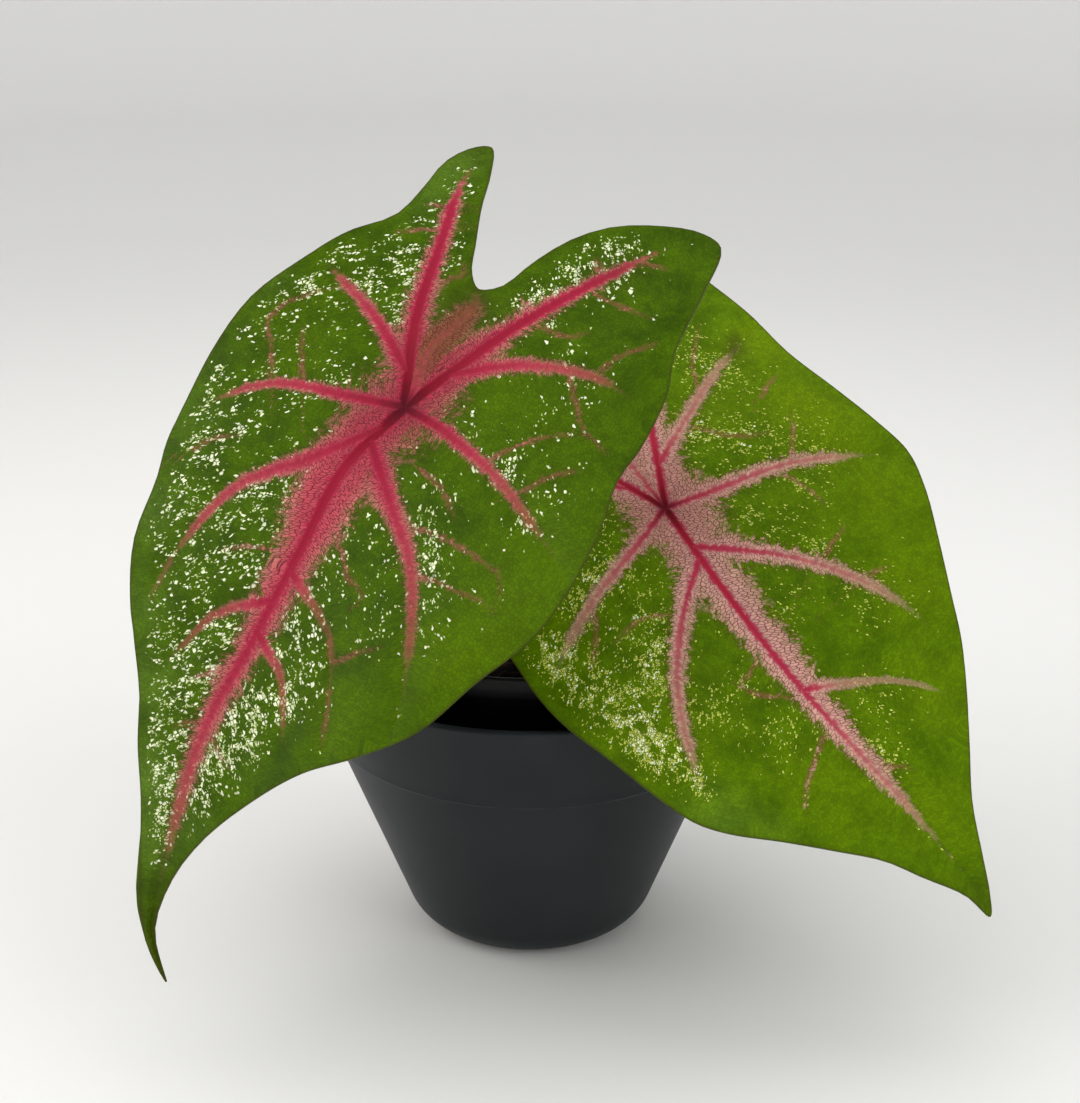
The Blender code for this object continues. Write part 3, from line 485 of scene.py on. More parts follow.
def weld(patches):
    """One sheet of quads from grids of points that share their edges."""
    points, faces, base = [], [], 0
    for grid in patches:
        high, wide = grid.shape[:2]
        index = base + np.arange(high * wide).reshape(high, wide)
        quads = np.stack([index[:-1, :-1], index[1:, :-1], index[1:, 1:], index[:-1, 1:]], axis=-1)
        flat = grid.reshape(-1, 2)
        p = flat[quads.reshape(-1, 4) - base]
        area = np.cross(p[:, 2] - p[:, 0], p[:, 3] - p[:, 1])
        quads = quads.reshape(-1, 4)
        faces.append(quads if area.sum() > 0 else quads[:, ::-1])
        points.append(flat)
        base += high * wide
    points, faces = np.vstack(points), np.vstack(faces)
    _, first, index = np.unique(np.round(points, 3), axis=0, return_index=True, return_inverse=True)
    faces = index.reshape(-1)[faces]
    points = points[first]
    return points, faces


def at_nearest(lines, corner):
    """Of each face's nearest line by the mean distance of its corners, all that is known there."""
    nearest = lines[:, 0][:, corner].mean(2).argmin(0)[:, None]
    return (lines[nearest, k, corner] for k in range(lines.shape[1]))


def blade_fields(leaf, flat, outline, body):
    """What the shape and the colours need: at each point distances, strengths and patches, and at each
    face's corners the place along and beside the rib that is nearest to the whole face."""
    margin, around, _ = distance_to(flat, outline)
    ribs = [leaf[k] for k in ("midrib", "notch", "left_lobe", "right_lobe")]
    ribs += [rib for rib in leaf["left_ribs"] + leaf["right_ribs"] if rib[1] > 0.0]
    spread = []
    blush = np.maximum(1.0 - np.hypot(*flat.T) / HUB_BLUSH, NO_BLUSH)
    keel = np.zeros(len(flat))
    for number, (controls, start, end, wide, narrow, reach) in enumerate(ribs):
        curve = smooth_curve(controls)
        away, where, side = distance_to(flat, curve)
        share = where / (curve[1][-1] * reach)
        alive = np.clip((1.0 - share) / RIB_FADE, 0.0, 1.0)
        share = np.minimum(share, 1.0)
        strength = (start + (end - start) * share) * alive
        # A small rib is as strong as the one it forks from for its first few millimetres
        strength = strength + max(FORK_STRENGTH - start, 0.0) * bell(where, FORK_REACH)
        halo = wide + (narrow - wide) * share ** 0.6
        blush = np.maximum(blush, 1.0 - away / halo - 1.5 * (1.0 - alive))
        height = (MAIN_KEEL if start > 0.86 else SIDE_KEEL) * strength
        keel = np.maximum(keel, height * bell(away, KEEL_REACH))
        spread.append((away, where + RIB_SPACING * number, side, strength))
    spread = np.array(spread)
    gap = spread[:, 0].min(0)
    corner = body % len(flat)
    away, run, side, power = at_nearest(spread, corner)
    side = np.where(side.sum(1, keepdims=True) < 0, -1.0, 1.0)
    fine = []
    for controls in leaf["veinlets"]:
        curve = smooth_curve(controls)
        miss, where, turn = distance_to(flat, curve)
        fine.append((miss, turn, np.clip((1.0 - where / curve[1][-1]) / 0.4, 0.0, 1.0)))
    fine = np.array(fine)
    faint, turn, presence = at_nearest(fine, corner)
    faint = np.clip(faint * turn, -9.0, 9.0)
    patches = {}
    for key in ("speckles", "glow", "haze", "bruise"):
        a, b, radius, amount = np.array(leaf[key]).T[..., None]
        total = (amount * bell(np.hypot(flat[:, 0] - a, flat[:, 1] - b), radius)).sum(0)
        patches[key] = np.clip(total, -1.0, 1.7 if key == "speckles" else 1.0)
    blush = blush + patches["haze"] * 0.9
    blush = np.maximum(blush, (0.12 * fine[:, 2] - 0.45 * fine[:, 0]).max(0))
    # Bare cells also gather along the blush's edge
    patches["speckles"] += 0.5 * bell(blush + 0.3, 0.4) * (0.15 + patches["speckles"])
    patches["speckles"] *= eased((margin - 1.5) / 4.5)
    return {
        "margin": margin, "around": around / outline[1][-1], "gap": gap, "blush": blush, "keel": keel,
        "power": spread[:, 3].max(0), **patches,
        "rib_frame": (run.ravel(), (away * side).ravel(), power.ravel()),
        "faint_veins": (faint.ravel(), presence.ravel(), patches["bruise"][corner].ravel()),
    }


def blade_faces(leaf, flat, fields):
    """Upper and lower face: the sheet raised by margin waves and by swellings between the ribs, and
    below it the blade's thickness, a bell-shaped keel under each rib and a pad for the stalk."""
    swell, waves, phase = leaf["wave"]
    fade = np.clip(1.0 - fields["margin"] / WAVE_REACH, 0.0, 1.0) ** 2
    rise = swell * fade * np.sin(2 * np.pi * waves * fields["around"] + phase)
    inland = np.clip(fields["margin"] / QUILT_MARGIN, 0.0, 1.0)
    rise += QUILT_HEIGHT * inland * (1.0 - bell(fields["gap"], QUILT_REACH))
    sunk = GROOVE_DEPTH * fields["power"] * bell(fields["gap"], GROOVE_REACH)
    middle, normal = sheet(leaf, flat), sheet_normals(leaf, flat)
    depth = MARGIN_THICKNESS + (BLADE_THICKNESS - MARGIN_THICKNESS) * inland + fields["keel"]
    pad = eased((PAD_RADIUS + PAD_EASE - np.hypot(*flat.T)) / PAD_EASE)
    depth = depth * (1.0 - pad) + PAD_HEIGHT * pad
    return middle + normal * (rise - sunk)[:, None], middle + normal * (rise - depth)[:, None]


def mesh_object(name, points, faces, finish=None, crease=None):
    """A smooth mesh object at the origin, from points in millimetres and faces with equal corner counts,
    with its finish, and sharp where its faces meet at more than the crease in degrees."""
    mesh = bpy.data.meshes.new(name)
    points, faces = np.asarray(points, float) * MM, np.asarray(faces)
    mesh.vertices.add(len(points))
    mesh.vertices.foreach_set("co", points.ravel())
    mesh.loops.add(faces.size)
    mesh.loops.foreach_set("vertex_index", faces.ravel().astype(np.int32))
    mesh.polygons.add(len(faces))
    mesh.polygons.foreach_set("loop_start", np.arange(0, faces.size, faces.shape[1], dtype=np.int32))
    mesh.update(calc_edges=True)
    mesh.validate()
    mesh.shade_smooth()
    if finish:
        mesh.materials.append(finish)
    if crease:
        mesh.set_sharp_from_angle(angle=math.radians(crease))
    made = bpy.data.objects.new(name, mesh)
    bpy.context.scene.collection.objects.link(made)
    return made


def triangles(quads):
    """Triangles of quads, without the flat ones where a quad's side has shrunk to a point."""
    both = np.vstack([quads[:, [0, 1, 2]], quads[:, [0, 2, 3]]])
    keep = (both[:, 0] != both[:, 1]) & (both[:, 1] != both[:, 2]) & (both[:, 2] != both[:, 0])
    return both[keep]


def store(mesh, name, values, domain="POINT"):
    """Keep three numbers a point, or a face corner, as a named attribute."""
    layer = mesh.attributes.new(name, "FLOAT_VECTOR", domain)
    layer.data.foreach_set("vector", np.column_stack(values).astype(np.float32).ravel())


def make_blade(name, leaf, rows, columns, upper_finish, lower_finish):
    """A leaf blade as one closed body: upper face, lower face and the thin wall round its margin."""
    patches, outline = blade_panels(leaf, rows, columns)
    flat, quads = weld(patches)
    faces = triangles(quads)
    count = len(flat)
    sides = np.vstack([faces[:, [0, 1]], faces[:, [1, 2]], faces[:, [2, 0]]])
    key, back = sides[:, 0] * count + sides[:, 1], sides[:, 1] * count + sides[:, 0]
    rim = sides[~np.isin(key, back)]
    wall = np.vstack([
        np.column_stack([rim[:, 1], rim[:, 0], rim[:, 0] + count]),
        np.column_stack([rim[:, 1], rim[:, 0] + count, rim[:, 1] + count]),
    ])
    body = np.vstack([faces, faces[:, ::-1] + count, wall])
    fields = blade_fields(leaf, flat, outline, body)
    upper, lower = blade_faces(leaf, flat, fields)
    turn = np.array(leaf_matrix(leaf))
    points = np.vstack([upper, lower]) @ turn[:3, :3].T + turn[:3, 3]
    blade = mesh_object(name, points, body, upper_finish, BLADE_CREASE)
    for title in ("rib_frame", "faint_veins"):
        store(blade.data, title, fields[title], "CORNER")
    store(blade.data, "marks", [np.tile(fields[key], 2) for key in ("blush", "speckles", "glow")])
    store(blade.data, "leaf_frame", [np.tile(part, 2) for part in (*flat.T, fields["margin"])])
    blade.data.materials.append(lower_finish)
    slots = np.zeros(len(body), np.int32)
    slots[len(faces):2 * len(faces)] = 1
    blade.data.polygons.foreach_set("material_index", slots)
    return blade


def coats(node, paint, *layers):
    """Colours laid over a base one after another, each with its share and, if not plain, its blend."""
    for share, colour, *blend in layers:
        paint = node(
            "Mix", {0: share, 6: paint, 7: colour}, data_type="RGBA", blend_type=(*blend, "MIX")[0], out=2,
        )
    return paint


def cells(node, place, size):
    """Small cells of a size in the place's units: each one's three random draws, and the distance to
    its edge."""
    coded = {"Vector": place, "Scale": 1.0 / size}
    drawn = node("TexVoronoi", coded, voronoi_dimensions="2D", out="Color")
    edge = node("TexVoronoi", coded, voronoi_dimensions="2D", feature="DISTANCE_TO_EDGE", out="Distance")
    return node("SeparateColor", drawn, out=None), edge


def stored(node, name):
    """The three parts of one of a piece's own attributes."""
    return node("SeparateXYZ", node("Attribute", attribute_name=name, out="Vector"), out=None)


def make_finish(name, recipe, *choices):
    """A material whose recipe adds its nodes and gives what the shader takes from them."""
    made = bpy.data.materials.new(name)
    made.use_nodes = True
    made.node_tree.nodes.clear()
    node = functools.partial(add, made.node_tree)
    node("OutputMaterial", node("BsdfPrincipled", recipe(node, *choices)), out=None)
    return made


def leaf_face(node, look):
    """Fresh caladium leaf, upper face: thin waxy tissue, satin. Tiny cells outlined by a net of fine
    veins are green, blush pink near the ribs or bare cream, which gives ragged edges and flecks."""
    run, side_gap, power = stored(node, "rib_frame")
    along, across, margin = stored(node, "leaf_frame")
    blush, speckles, glow = stored(node, "marks")
    faint, presence, bruise = stored(node, "faint_veins")
    gap = node("Math ABSOLUTE", side_gap)
    flat = node("CombineXYZ", along, across)
    hub = node("VectorMath LENGTH", flat, out="Value")
    wobble = node("TexNoise", {"Vector": flat, "Scale": WOBBLE_SCALE, "Detail": 2.0}, out="Color")
    wobble = node("VectorMath SUBTRACT", wobble, (0.5, 0.5, 0.5))
    # The net's cells: beside a rib 0.6 to 0.9 mm wide, twice the real ones, and drawn outwards
    lean = node("Math MULTIPLY_ADD", gap, FRINGE_LEAN, run)
    outwards = node("Math MULTIPLY", side_gap, look["hair_squash"])
    fringe_place = node("CombineXYZ", lean, outwards)
    fringe_place = node("VectorMath MULTIPLY_ADD", wobble, (0.35, 0.35, 0.0), fringe_place)
    open_place = node("VectorMath MULTIPLY_ADD", wobble, (0.7, 0.7, 0.0), flat)
    open_draw, open_edge = cells(node, open_place, OPEN_CELL)
    hair_draw, hair_edge = cells(node, fringe_place, look["hair"])
    fringe = node("MapRange", gap, look["hair_reach"] + 1.0, look["hair_reach"])
    draw, tone, line = (node("Mix", {0: fringe, 2: there, 3: here}) for there, here in (
        (open_draw[0], hair_draw[0]), (open_draw[1], hair_draw[1]), (open_edge, hair_edge),
    ))
    net = node("MapRange", line, look["net_width"], NET_MIDDLE)

    # Green tissue, mottled over 9 mm, with a painted glow of light shining through it and a painted sheen
    mottle = node("TexNoise", {"Vector": flat, "Scale": MOTTLE_SCALE, "Detail": 4.0})
    mottle = node("MapRange", mottle, 0.36, 0.64)
    lit = node("MapRange", glow, 0.0, 1.0, 0.0, 0.85)
    # Painted sheen where glow is under zero: the window's reflection, paler and bluer
    bloom = node("MapRange", glow, 0.0, -1.0, 0.0, 0.27)
    shade = node("MapRange", tone, 0.0, 1.0, 0.86, 1.12)
    dark_net = node("Math MULTIPLY", net, 0.35)
    paint = coats(
        node, look["deep"], (mottle, look["green"]), (lit, look["glow"]), (bloom, look["bloom"]),
        (1.0, shade, "MULTIPLY"), (dark_net, look["green_net"]),
    )

    # Flecks: bare cells, longer along a slant of 40 degrees out from the midrib, in clumps of 3 mm. A
    # cell is bare where its own draw falls under the leaf's speckle density
    slant = node("CombineXYZ", along, node("Math ABSOLUTE", across), across)
    fleck_long = node("VectorMath DOT_PRODUCT", slant, (0.54, 0.45, 0.0), out="Value")
    fleck_wide = node("VectorMath DOT_PRODUCT", slant, (-0.64, 0.77, 0.0), out="Value")
    fleck_place = node("CombineXYZ", fleck_long, fleck_wide, node("Math SIGN", across))
    fleck_place = node("VectorMath MULTIPLY_ADD", wobble, (0.8, 0.8, 0.0), fleck_place)
    clump = node("TexNoise", {"Vector": fleck_place, "Scale": CLUMP_SCALE, "Detail": 2.0})
    level = node("Math MULTIPLY", speckles, node("MapRange", clump, 0.38, 0.60))
    for size, share, least, tint in (
        (FINE_FLECK, look["fine_flecks"], 0.0, look["fine"]),
        (look["big"], look["big_flecks"], look["big_from"], look["cream"]),
    ):
        drawn, edge = cells(node, fleck_place, size)
        wanted = node("Math MULTIPLY_ADD", level, share, -least * share)
        bare = node("Math LESS_THAN", drawn[0], wanted)
        inset = node("Math MULTIPLY_ADD", drawn[1], -0.20, edge)
        fleck = node("Math MULTIPLY", bare, node("MapRange", inset, 0.0, 0.12))
        fleck = node("Math MULTIPLY", fleck, node("MapRange", drawn[2], 0.0, 1.0, 0.55, 1.0))
        paint = coats(node, paint, (fleck, tint))

    # Fine side veins: dusty red-brown, frayed cell by cell, 0.7 mm to each side
    rough_edge = node("Math MULTIPLY_ADD", draw, 1.1, node("Math ABSOLUTE", faint))
    vein = node("Math MULTIPLY", node("MapRange", rough_edge, 1.7, 0.8), presence)
    vein = node("Math MULTIPLY", vein, 0.55)

    # Blush: whole cells turn pink, by their own draw, so that its edge is ragged. It wanes with the
    # rib's strength and is dusky near the stalk
    finger = node("TexNoise", {"Vector": fringe_place, "Scale": CLUMP_SCALE, "Detail": 1.0})
    reached = node("Math MULTIPLY_ADD", finger, look["fingers"], blush)
    reached = node("Math ADD", reached, -0.5 * look["fingers"])
    pick = node("Math MULTIPLY_ADD", draw, -0.55, reached)
    pink = node("MapRange", pick, -0.20 - look["soft"], -0.20 + look["soft"])
    cover = node("MapRange", reached, -0.3, 0.45, look["thin"], 0.96)
    pink = node("Math MULTIPLY", pink, cover)
    pink = node("Math MULTIPLY", pink, node("MapRange", power, 0.12, 0.46, look["wane"]))
    rosy = node("MapRange", blush, 0.05, 0.75)
    dusk = node("MapRange", hub, 30.0, 6.0, 0.0, look["dusk"])
    pale = coats(
        node, look["blush_edge"], (rosy, look["blush"]), (1.0, shade, "MULTIPLY"), (dusk, look["dusky"]),
    )

    # Ribs: a rosy band frayed hair by hair, the dark net across its sides, and in the strong ribs a
    # crimson core that fades over 1.3 mm to each side and darkens towards the stalk
    frayed = node("Math MULTIPLY_ADD", draw, look["fray"], gap)
    wide = node("Math MULTIPLY_ADD", power, look["band"], look["band_end"])
    band = node("Math SUBTRACT", wide, frayed)
    band = node("MapRange", band, -0.6, 0.6, interpolation_type="SMOOTHSTEP")
    alive = node("MapRange", power, 0.12, 0.52)
    band = node("Math MULTIPLY", band, alive)
    near = node("MapRange", power, 0.15, 0.6)
    rose = coats(node, look["band_far"], (near, look["band_near"]), (1.0, shade, "MULTIPLY"))
    red_net = node("Math MULTIPLY", net, node("MapRange", blush, -0.5, 0.10))
    beyond = node("MapRange", gap, 0.4, 2.4, 0.15, look["net_depth"])
    red_net = node("Math MULTIPLY", red_net, beyond)
    thin = node("Math MULTIPLY_ADD", power, look["core_width"], 0.05)
    thin = node("Math SUBTRACT", thin, gap)
    core = node("MapRange", thin, -0.75, 0.55, interpolation_type="SMOOTHSTEP")
    strong = node("MapRange", power, 0.36, 0.78, 0.22, 0.95)
    core = node("Math MULTIPLY", core, node("Math MULTIPLY", strong, alive))
    inmost = node("MapRange", hub, 24.0, 7.0)
    crimson = coats(node, look["core"], (inmost, look["deep_core"]))

    # The stalk's spot, a maroon 3 mm across that runs out into the ribs; bruises; the thin margin
    spot = node("MapRange", node("Math MULTIPLY_ADD", core, -4.0, hub), 5.5, -3.0, 0.0, 0.9)
    sore = node("Math MULTIPLY", bruise, 0.6)
    rim = node("MapRange", margin, 0.75, 0.15, 0.0, 0.6)
    paint = coats(
        node, paint, (vein, look["veinlet"]), (pink, pale), (band, rose), (red_net, look["net"]),
        (core, crimson), (spot, look["hub"]), (sore, look["sore"]), (rim, look["rim"]),
    )

    relief = node("Math MULTIPLY_ADD", vein, -2.0, node("Math MULTIPLY", net, -1.0))
    return {
        "Base Color": paint, "Roughness": node("MapRange", mottle, 0.0, 1.0, 0.38, 0.46), "IOR": LEAF_IOR,
        "Normal": node("Bump", {"Height": relief, "Strength": 0.16, "Distance": 0.0002}),
        "Specular IOR Level": 0.07, "Sheen Weight": 0.0,
    }


def leaf_underside(node, look):
    """Fresh caladium leaf, lower face: paler and matt, with the ribs' pink showing through."""
    _, side_gap, power = stored(node, "rib_frame")
    along, across, _ = stored(node, "leaf_frame")
    blush = stored(node, "marks")[0]
    flat = node("CombineXYZ", along, across)
    drawn, edge = cells(node, flat, UNDER_CELL)
    net = node("MapRange", edge, 0.16, NET_MIDDLE)
    mottle = node("TexNoise", {"Vector": flat, "Scale": MOTTLE_SCALE, "Detail": 3.0})
    pick = node("Math MULTIPLY_ADD", drawn[0], -0.6, blush)
    pink = node("MapRange", pick, -0.25, 0.1, 0.0, 0.75)
    wide = node("Math MULTIPLY_ADD", power, 1.5, 0.3)
    band = node("Math SUBTRACT", wide, node("Math ABSOLUTE", side_gap))
    band = node("Math MULTIPLY", node("MapRange", band, -0.3, 0.4), node("MapRange", power, 0.0, 0.16))
    light_net = node("Math MULTIPLY", net, 0.35)
    paint = coats(
        node, look["under_deep"], (mottle, look["under"]), (light_net, look["under_net"]),
        (pink, look["under_blush"]), (band, look["under_rib"]),
    )
    return {
        "Base Color": paint, "Roughness": 0.6, "IOR": LEAF_IOR, "Specular IOR Level": 0.2,
        "Normal": node("Bump", {"Height": net, "Strength": 0.2, "Distance": 0.0002}),
    }


def stalk_skin(node, young, old):
    """Caladium stalk: smooth waxy skin, brownish green, with fine purple streaks along it."""
    share, turn, side = stored(node, "stalk_frame")
    # Streaks about 0.6 mm wide and 9 mm long on a stalk of 3 mm radius
    drawn = node("Mapping", {"Vector": node("CombineXYZ", turn, side, share), "Scale": (5.0, 5.0, 12.0)})
    streak = node("TexNoise", {"Vector": drawn, "Scale": 1.0, "Detail": 4.0})
    streak = node("MapRange", streak, 0.48, 0.66, 0.0, 0.75)
    return {
        "Base Color": coats(node, old, (share, young), (streak, linear("#5a2a2c"))),
        "Roughness": 0.38, "IOR": LEAF_IOR,
        "Normal": node("Bump", {"Height": streak, "Strength": 0.1, "Distance": 0.0002}),
    }


def moist_peat(node, colour):
    """Moist peat mix: dark fibrous crumbs, dull, with lighter bits of fibre."""
    place = node("TexCoord", out="Object")
    grain = node("TexNoise", {"Vector": place, "Scale": 900.0, "Detail": 5.0})
    bits = node("SeparateColor", node("TexVoronoi", {"Vector": place, "Scale": 420.0}, out="Color"))
    bits = node("MapRange", bits, 0.86, 0.97, 0.0, 0.6)
    tone = node("MapRange", grain, 0.3, 0.7)
    return {
        "Base Color": coats(node, linear("#0c0806"), (tone, colour), (bits, linear("#4a3423"))),
        "Roughness": 0.95, "IOR": 1.35, "Specular IOR Level": 0.2,
        "Normal": node("Bump", {"Height": grain, "Strength": 0.8, "Distance": 0.0008}),
    }


def moulded_plastic(node, colour, roughness, grit, dust):
    """Injection-moulded polypropylene, matt: a fine spark-eroded grain that breaks up the gloss, with
    faint scuffs and dust. The real grit of 0.05 mm is drawn at 0.25 mm so that it shows."""
    place = node("TexCoord", out="Object")
    grain = node("TexNoise", {"Vector": place, "Scale": 4000.0, "Detail": 2.0})
    cloud = node("TexNoise", {"Vector": place, "Scale": 30.0, "Detail": 4.0})
    cloud = node("MapRange", cloud, 0.35, 0.7)
    stretched = node("Mapping", {"Vector": place, "Scale": (1.0, 1.0, 0.12)})
    scuff = node("TexNoise", {"Vector": stretched, "Scale": 350.0, "Detail": 3.0})
    scuff = node("MapRange", scuff, 0.68, 0.80, 0.0, 0.25)
    dusty = node("Math MULTIPLY_ADD", scuff, dust, node("Math MULTIPLY", cloud, dust))
    return {
        "Base Color": coats(node, colour, (dusty, linear("#8d8f8e"))),
        "Roughness": node("MapRange", cloud, 0.0, 1.0, roughness - 0.04, roughness + 0.06),
        "IOR": 1.49, "Specular IOR Level": 0.22,
        "Normal": node("Bump", {"Height": grain, "Strength": grit, "Distance": 0.0001}),
    }


def seamless_paper(node, colour):
    """Seamless paper, matt and even in itself, with painted light: a painted shade a little greyer around the
    subject's own patch of floor, and painted light lifting the far floor and wall where the lamps fall off.
    """
    away = node("VectorMath LENGTH", node("TexCoord", out="Object"), out="Value")
    # Painted shade from 0.3 to 0.9 m out, and painted light from 1 to 2.2 m out, where the lamps fall off
    near = node("MapRange", away, 0.3, 0.9, 1.0, 0.86, interpolation_type="SMOOTHSTEP")
    far = node("MapRange", away, 1.0, 2.2, 1.0, 1.26)
    paint = coats(node, colour, (1.0, node("Math MULTIPLY", near, far), "MULTIPLY"))
    return {"Base Color": paint, "Roughness": 0.9, "Specular IOR Level": 0.1}


def arc(centre_r, centre_z, radius, start, end, count):
    """Points on a circle's arc in a profile, by angle in degrees from the outward direction."""
    turns = np.radians(np.linspace(start, end, count))
    return np.column_stack([centre_r + radius * np.cos(turns), centre_z + radius * np.sin(turns)])


def spun(profile, segments):
    """A profile of radius and height turned round Z, one ring of points for each of its own."""
    turns = 2 * np.pi * np.arange(segments) / segments
    radius, height = np.repeat(profile, segments, axis=1).reshape(-1, 2, segments).transpose(1, 0, 2)
    return np.stack([radius * np.cos(turns), radius * np.sin(turns), height], axis=-1).reshape(-1, 3)


def tube_faces(rings, sides, both_ends=True):
    """Faces of a tube between rings of points, closed to a point at its start and, if wanted, at its
    far end. The end points come after the rings."""
    index = np.arange(rings * sides).reshape(rings, sides)
    after = np.roll(index, -1, axis=1)
    quads = np.stack([index[:-1], after[:-1], after[1:], index[1:]], axis=-1).reshape(-1, 4)
    faces = [triangles(quads), np.column_stack([np.full(sides, index.size), after[0], index[0]])]
    if both_ends:
        faces.append(np.column_stack([np.full(sides, index.size + 1), index[-1], after[-1]]))
    return np.vstack(faces)


def lathe(profile, segments):
    """A profile of radius and height, from the axis to the axis, carried round Z."""
    profile = np.vstack([np.asarray(part, float).reshape(-1, 2) for part in profile])
    poles = [[0.0, 0.0, height] for height in profile[[0, -1], 1]]
    return np.vstack([spun(profile[1:-1], segments), poles]), tube_faces(len(profile) - 2, segments)


def value_noise(x, y, size, seed):
    """Smooth noise from -1 to 1: random heights on a square lattice of the given size, blended."""
    lattice = np.random.default_rng(seed).uniform(-1.0, 1.0, (64, 64))
    u, v = x / size + 32.0, y / size + 32.0
    i, j = np.floor(u).astype(int), np.floor(v).astype(int)
    s, t = eased(u - i), eased(v - j)
    i, j = i % 63, j % 63
    low = lattice[i, j] * (1 - s) + lattice[i + 1, j] * s
    high = lattice[i, j + 1] * (1 - s) + lattice[i + 1, j + 1] * s
    return low * (1 - t) + high * t


def outer_radius(z):
    """Outside radius of the cachepot's lower wall."""
    return WALL_RADIUS_AT_TABLE + LOWER_WALL_SLOPE * z


def cachepot_shape(height, segments):
    """The cachepot's section carried round: rounded foot, leaning wall, a stepped collar eased over
    1 mm, a rounded rim, and the inside back down to the floor."""
    lean = math.degrees(math.atan(LOWER_WALL_SLOPE))
    stretch = math.hypot(1.0, LOWER_WALL_SLOPE)
    foot_r = outer_radius(FOOT_FILLET) - FOOT_FILLET * stretch
    collar_r = outer_radius(COLLAR_HEIGHT) + COLLAR_STEP
    lip = CACHEPOT_WALL / 2
    rim_r = collar_r + COLLAR_SLOPE * (height - lip - COLLAR_HEIGHT)
    wall = CACHEPOT_WALL * math.hypot(1.0, COLLAR_SLOPE)
    floor_z = CACHEPOT_FLOOR + INNER_FILLET
    floor_r = outer_radius(floor_z) - (CACHEPOT_WALL + INNER_FILLET) * stretch
    ease = np.linspace(0.0, 1.0, 7)
    wall_z = np.linspace(FOOT_FILLET, COLLAR_HEIGHT - 0.5, 12)
    collar_z = np.linspace(COLLAR_HEIGHT + 0.9, height - lip - 0.4, 8)
    below = COLLAR_HEIGHT - 4.0
    step_z = COLLAR_HEIGHT - 0.3 + 0.9 * ease
    step_r = outer_radius(step_z) + COLLAR_STEP * eased(ease)
    profile = [
        (0.0, 0.6), (foot_r - 4.0, 0.6), (foot_r - 3.2, 0.1), (foot_r - 2.6, 0.0),
        arc(foot_r, FOOT_FILLET, FOOT_FILLET, -90.0, -lean, 24),
        np.column_stack([outer_radius(wall_z), wall_z]),
        np.column_stack([step_r, step_z]),
        np.column_stack([collar_r + COLLAR_SLOPE * (collar_z - COLLAR_HEIGHT), collar_z]),
        arc(rim_r - lip, height - lip, lip, 0.0, 180.0, 15),
        (collar_r - wall, COLLAR_HEIGHT), (outer_radius(below) - CACHEPOT_WALL * stretch, below),
        arc(floor_r, floor_z, INNER_FILLET, -lean, -90.0, 16),
        (0.0, CACHEPOT_FLOOR),
    ]
    return lathe(profile, segments)


def nursery_radius(z, rim_height):
    """Outside radius of the nursery pot's wall below its rim band."""
    stretch = math.hypot(1.0, LOWER_WALL_SLOPE)
    foot = outer_radius(NURSERY_SEAT) - (CACHEPOT_WALL + CONTACT_GAP) * stretch
    band = NURSERY_RIM_RADIUS - 1.5
    return foot + (band - foot) * (z - NURSERY_SEAT) / (rim_height - NURSERY_SEAT)


def nursery_shape(rim_height, segments):
    """The nursery pot's section carried round: a thin wall, a rim band with a rolled lip, and a floor."""
    band_z = rim_height - NURSERY_BAND
    bottom = NURSERY_SEAT - NURSERY_FILLET
    floor_z = bottom + NURSERY_FLOOR
    foot_r = nursery_radius(NURSERY_SEAT, rim_height) - NURSERY_FILLET
    profile = [
        (0.0, bottom), (foot_r, bottom), arc(foot_r, NURSERY_SEAT, NURSERY_FILLET, -80.0, 0.0, 6),
        [(nursery_radius(z, rim_height), z) for z in np.linspace(30.0, band_z, 6)],
        (NURSERY_RIM_RADIUS - 0.6, band_z + 0.3), (NURSERY_RIM_RADIUS - 0.3, band_z + 0.9),
        (NURSERY_RIM_RADIUS - 0.2, rim_height - 2.6),
        arc(NURSERY_RIM_RADIUS - 0.9, rim_height - 0.9, 0.9, -20.0, 180.0, 14),
        (NURSERY_RIM_RADIUS - 2.1, rim_height - 2.4),
        [(nursery_radius(z, rim_height) - NURSERY_WALL, z) for z in np.linspace(band_z, 24.0, 6)],
        (nursery_radius(floor_z + 1.0, rim_height) - NURSERY_WALL, floor_z + 1.0),
        (nursery_radius(floor_z, rim_height) - NURSERY_WALL - 1.2, floor_z), (0.0, floor_z),
    ]
    return lathe(profile, segments)


def soil_height(x, y, crumb):
    """Height of the soil's top: slow mounds as the solid has, and crumbs of 5, 2.4 and 1.1 mm."""
    rough = np.sin(0.31 * x + 0.7) * np.cos(0.27 * y - 0.4)
    fine = np.sin(0.83 * x - 0.51 * y) * np.cos(0.67 * y + 0.38 * x + 1.1)
    mounds = SOIL_CRUMB * (0.6 * rough + 0.4 * fine)
    grains = 0.9 * value_noise(x, y, 5.0, 3) + 0.6 * np.abs(value_noise(x, y, 2.4, 5))
    grains += 0.35 * value_noise(x, y, 1.1, 8)
    return SOIL_LEVEL - 0.9 + mounds * 0.8 + crumb * grains


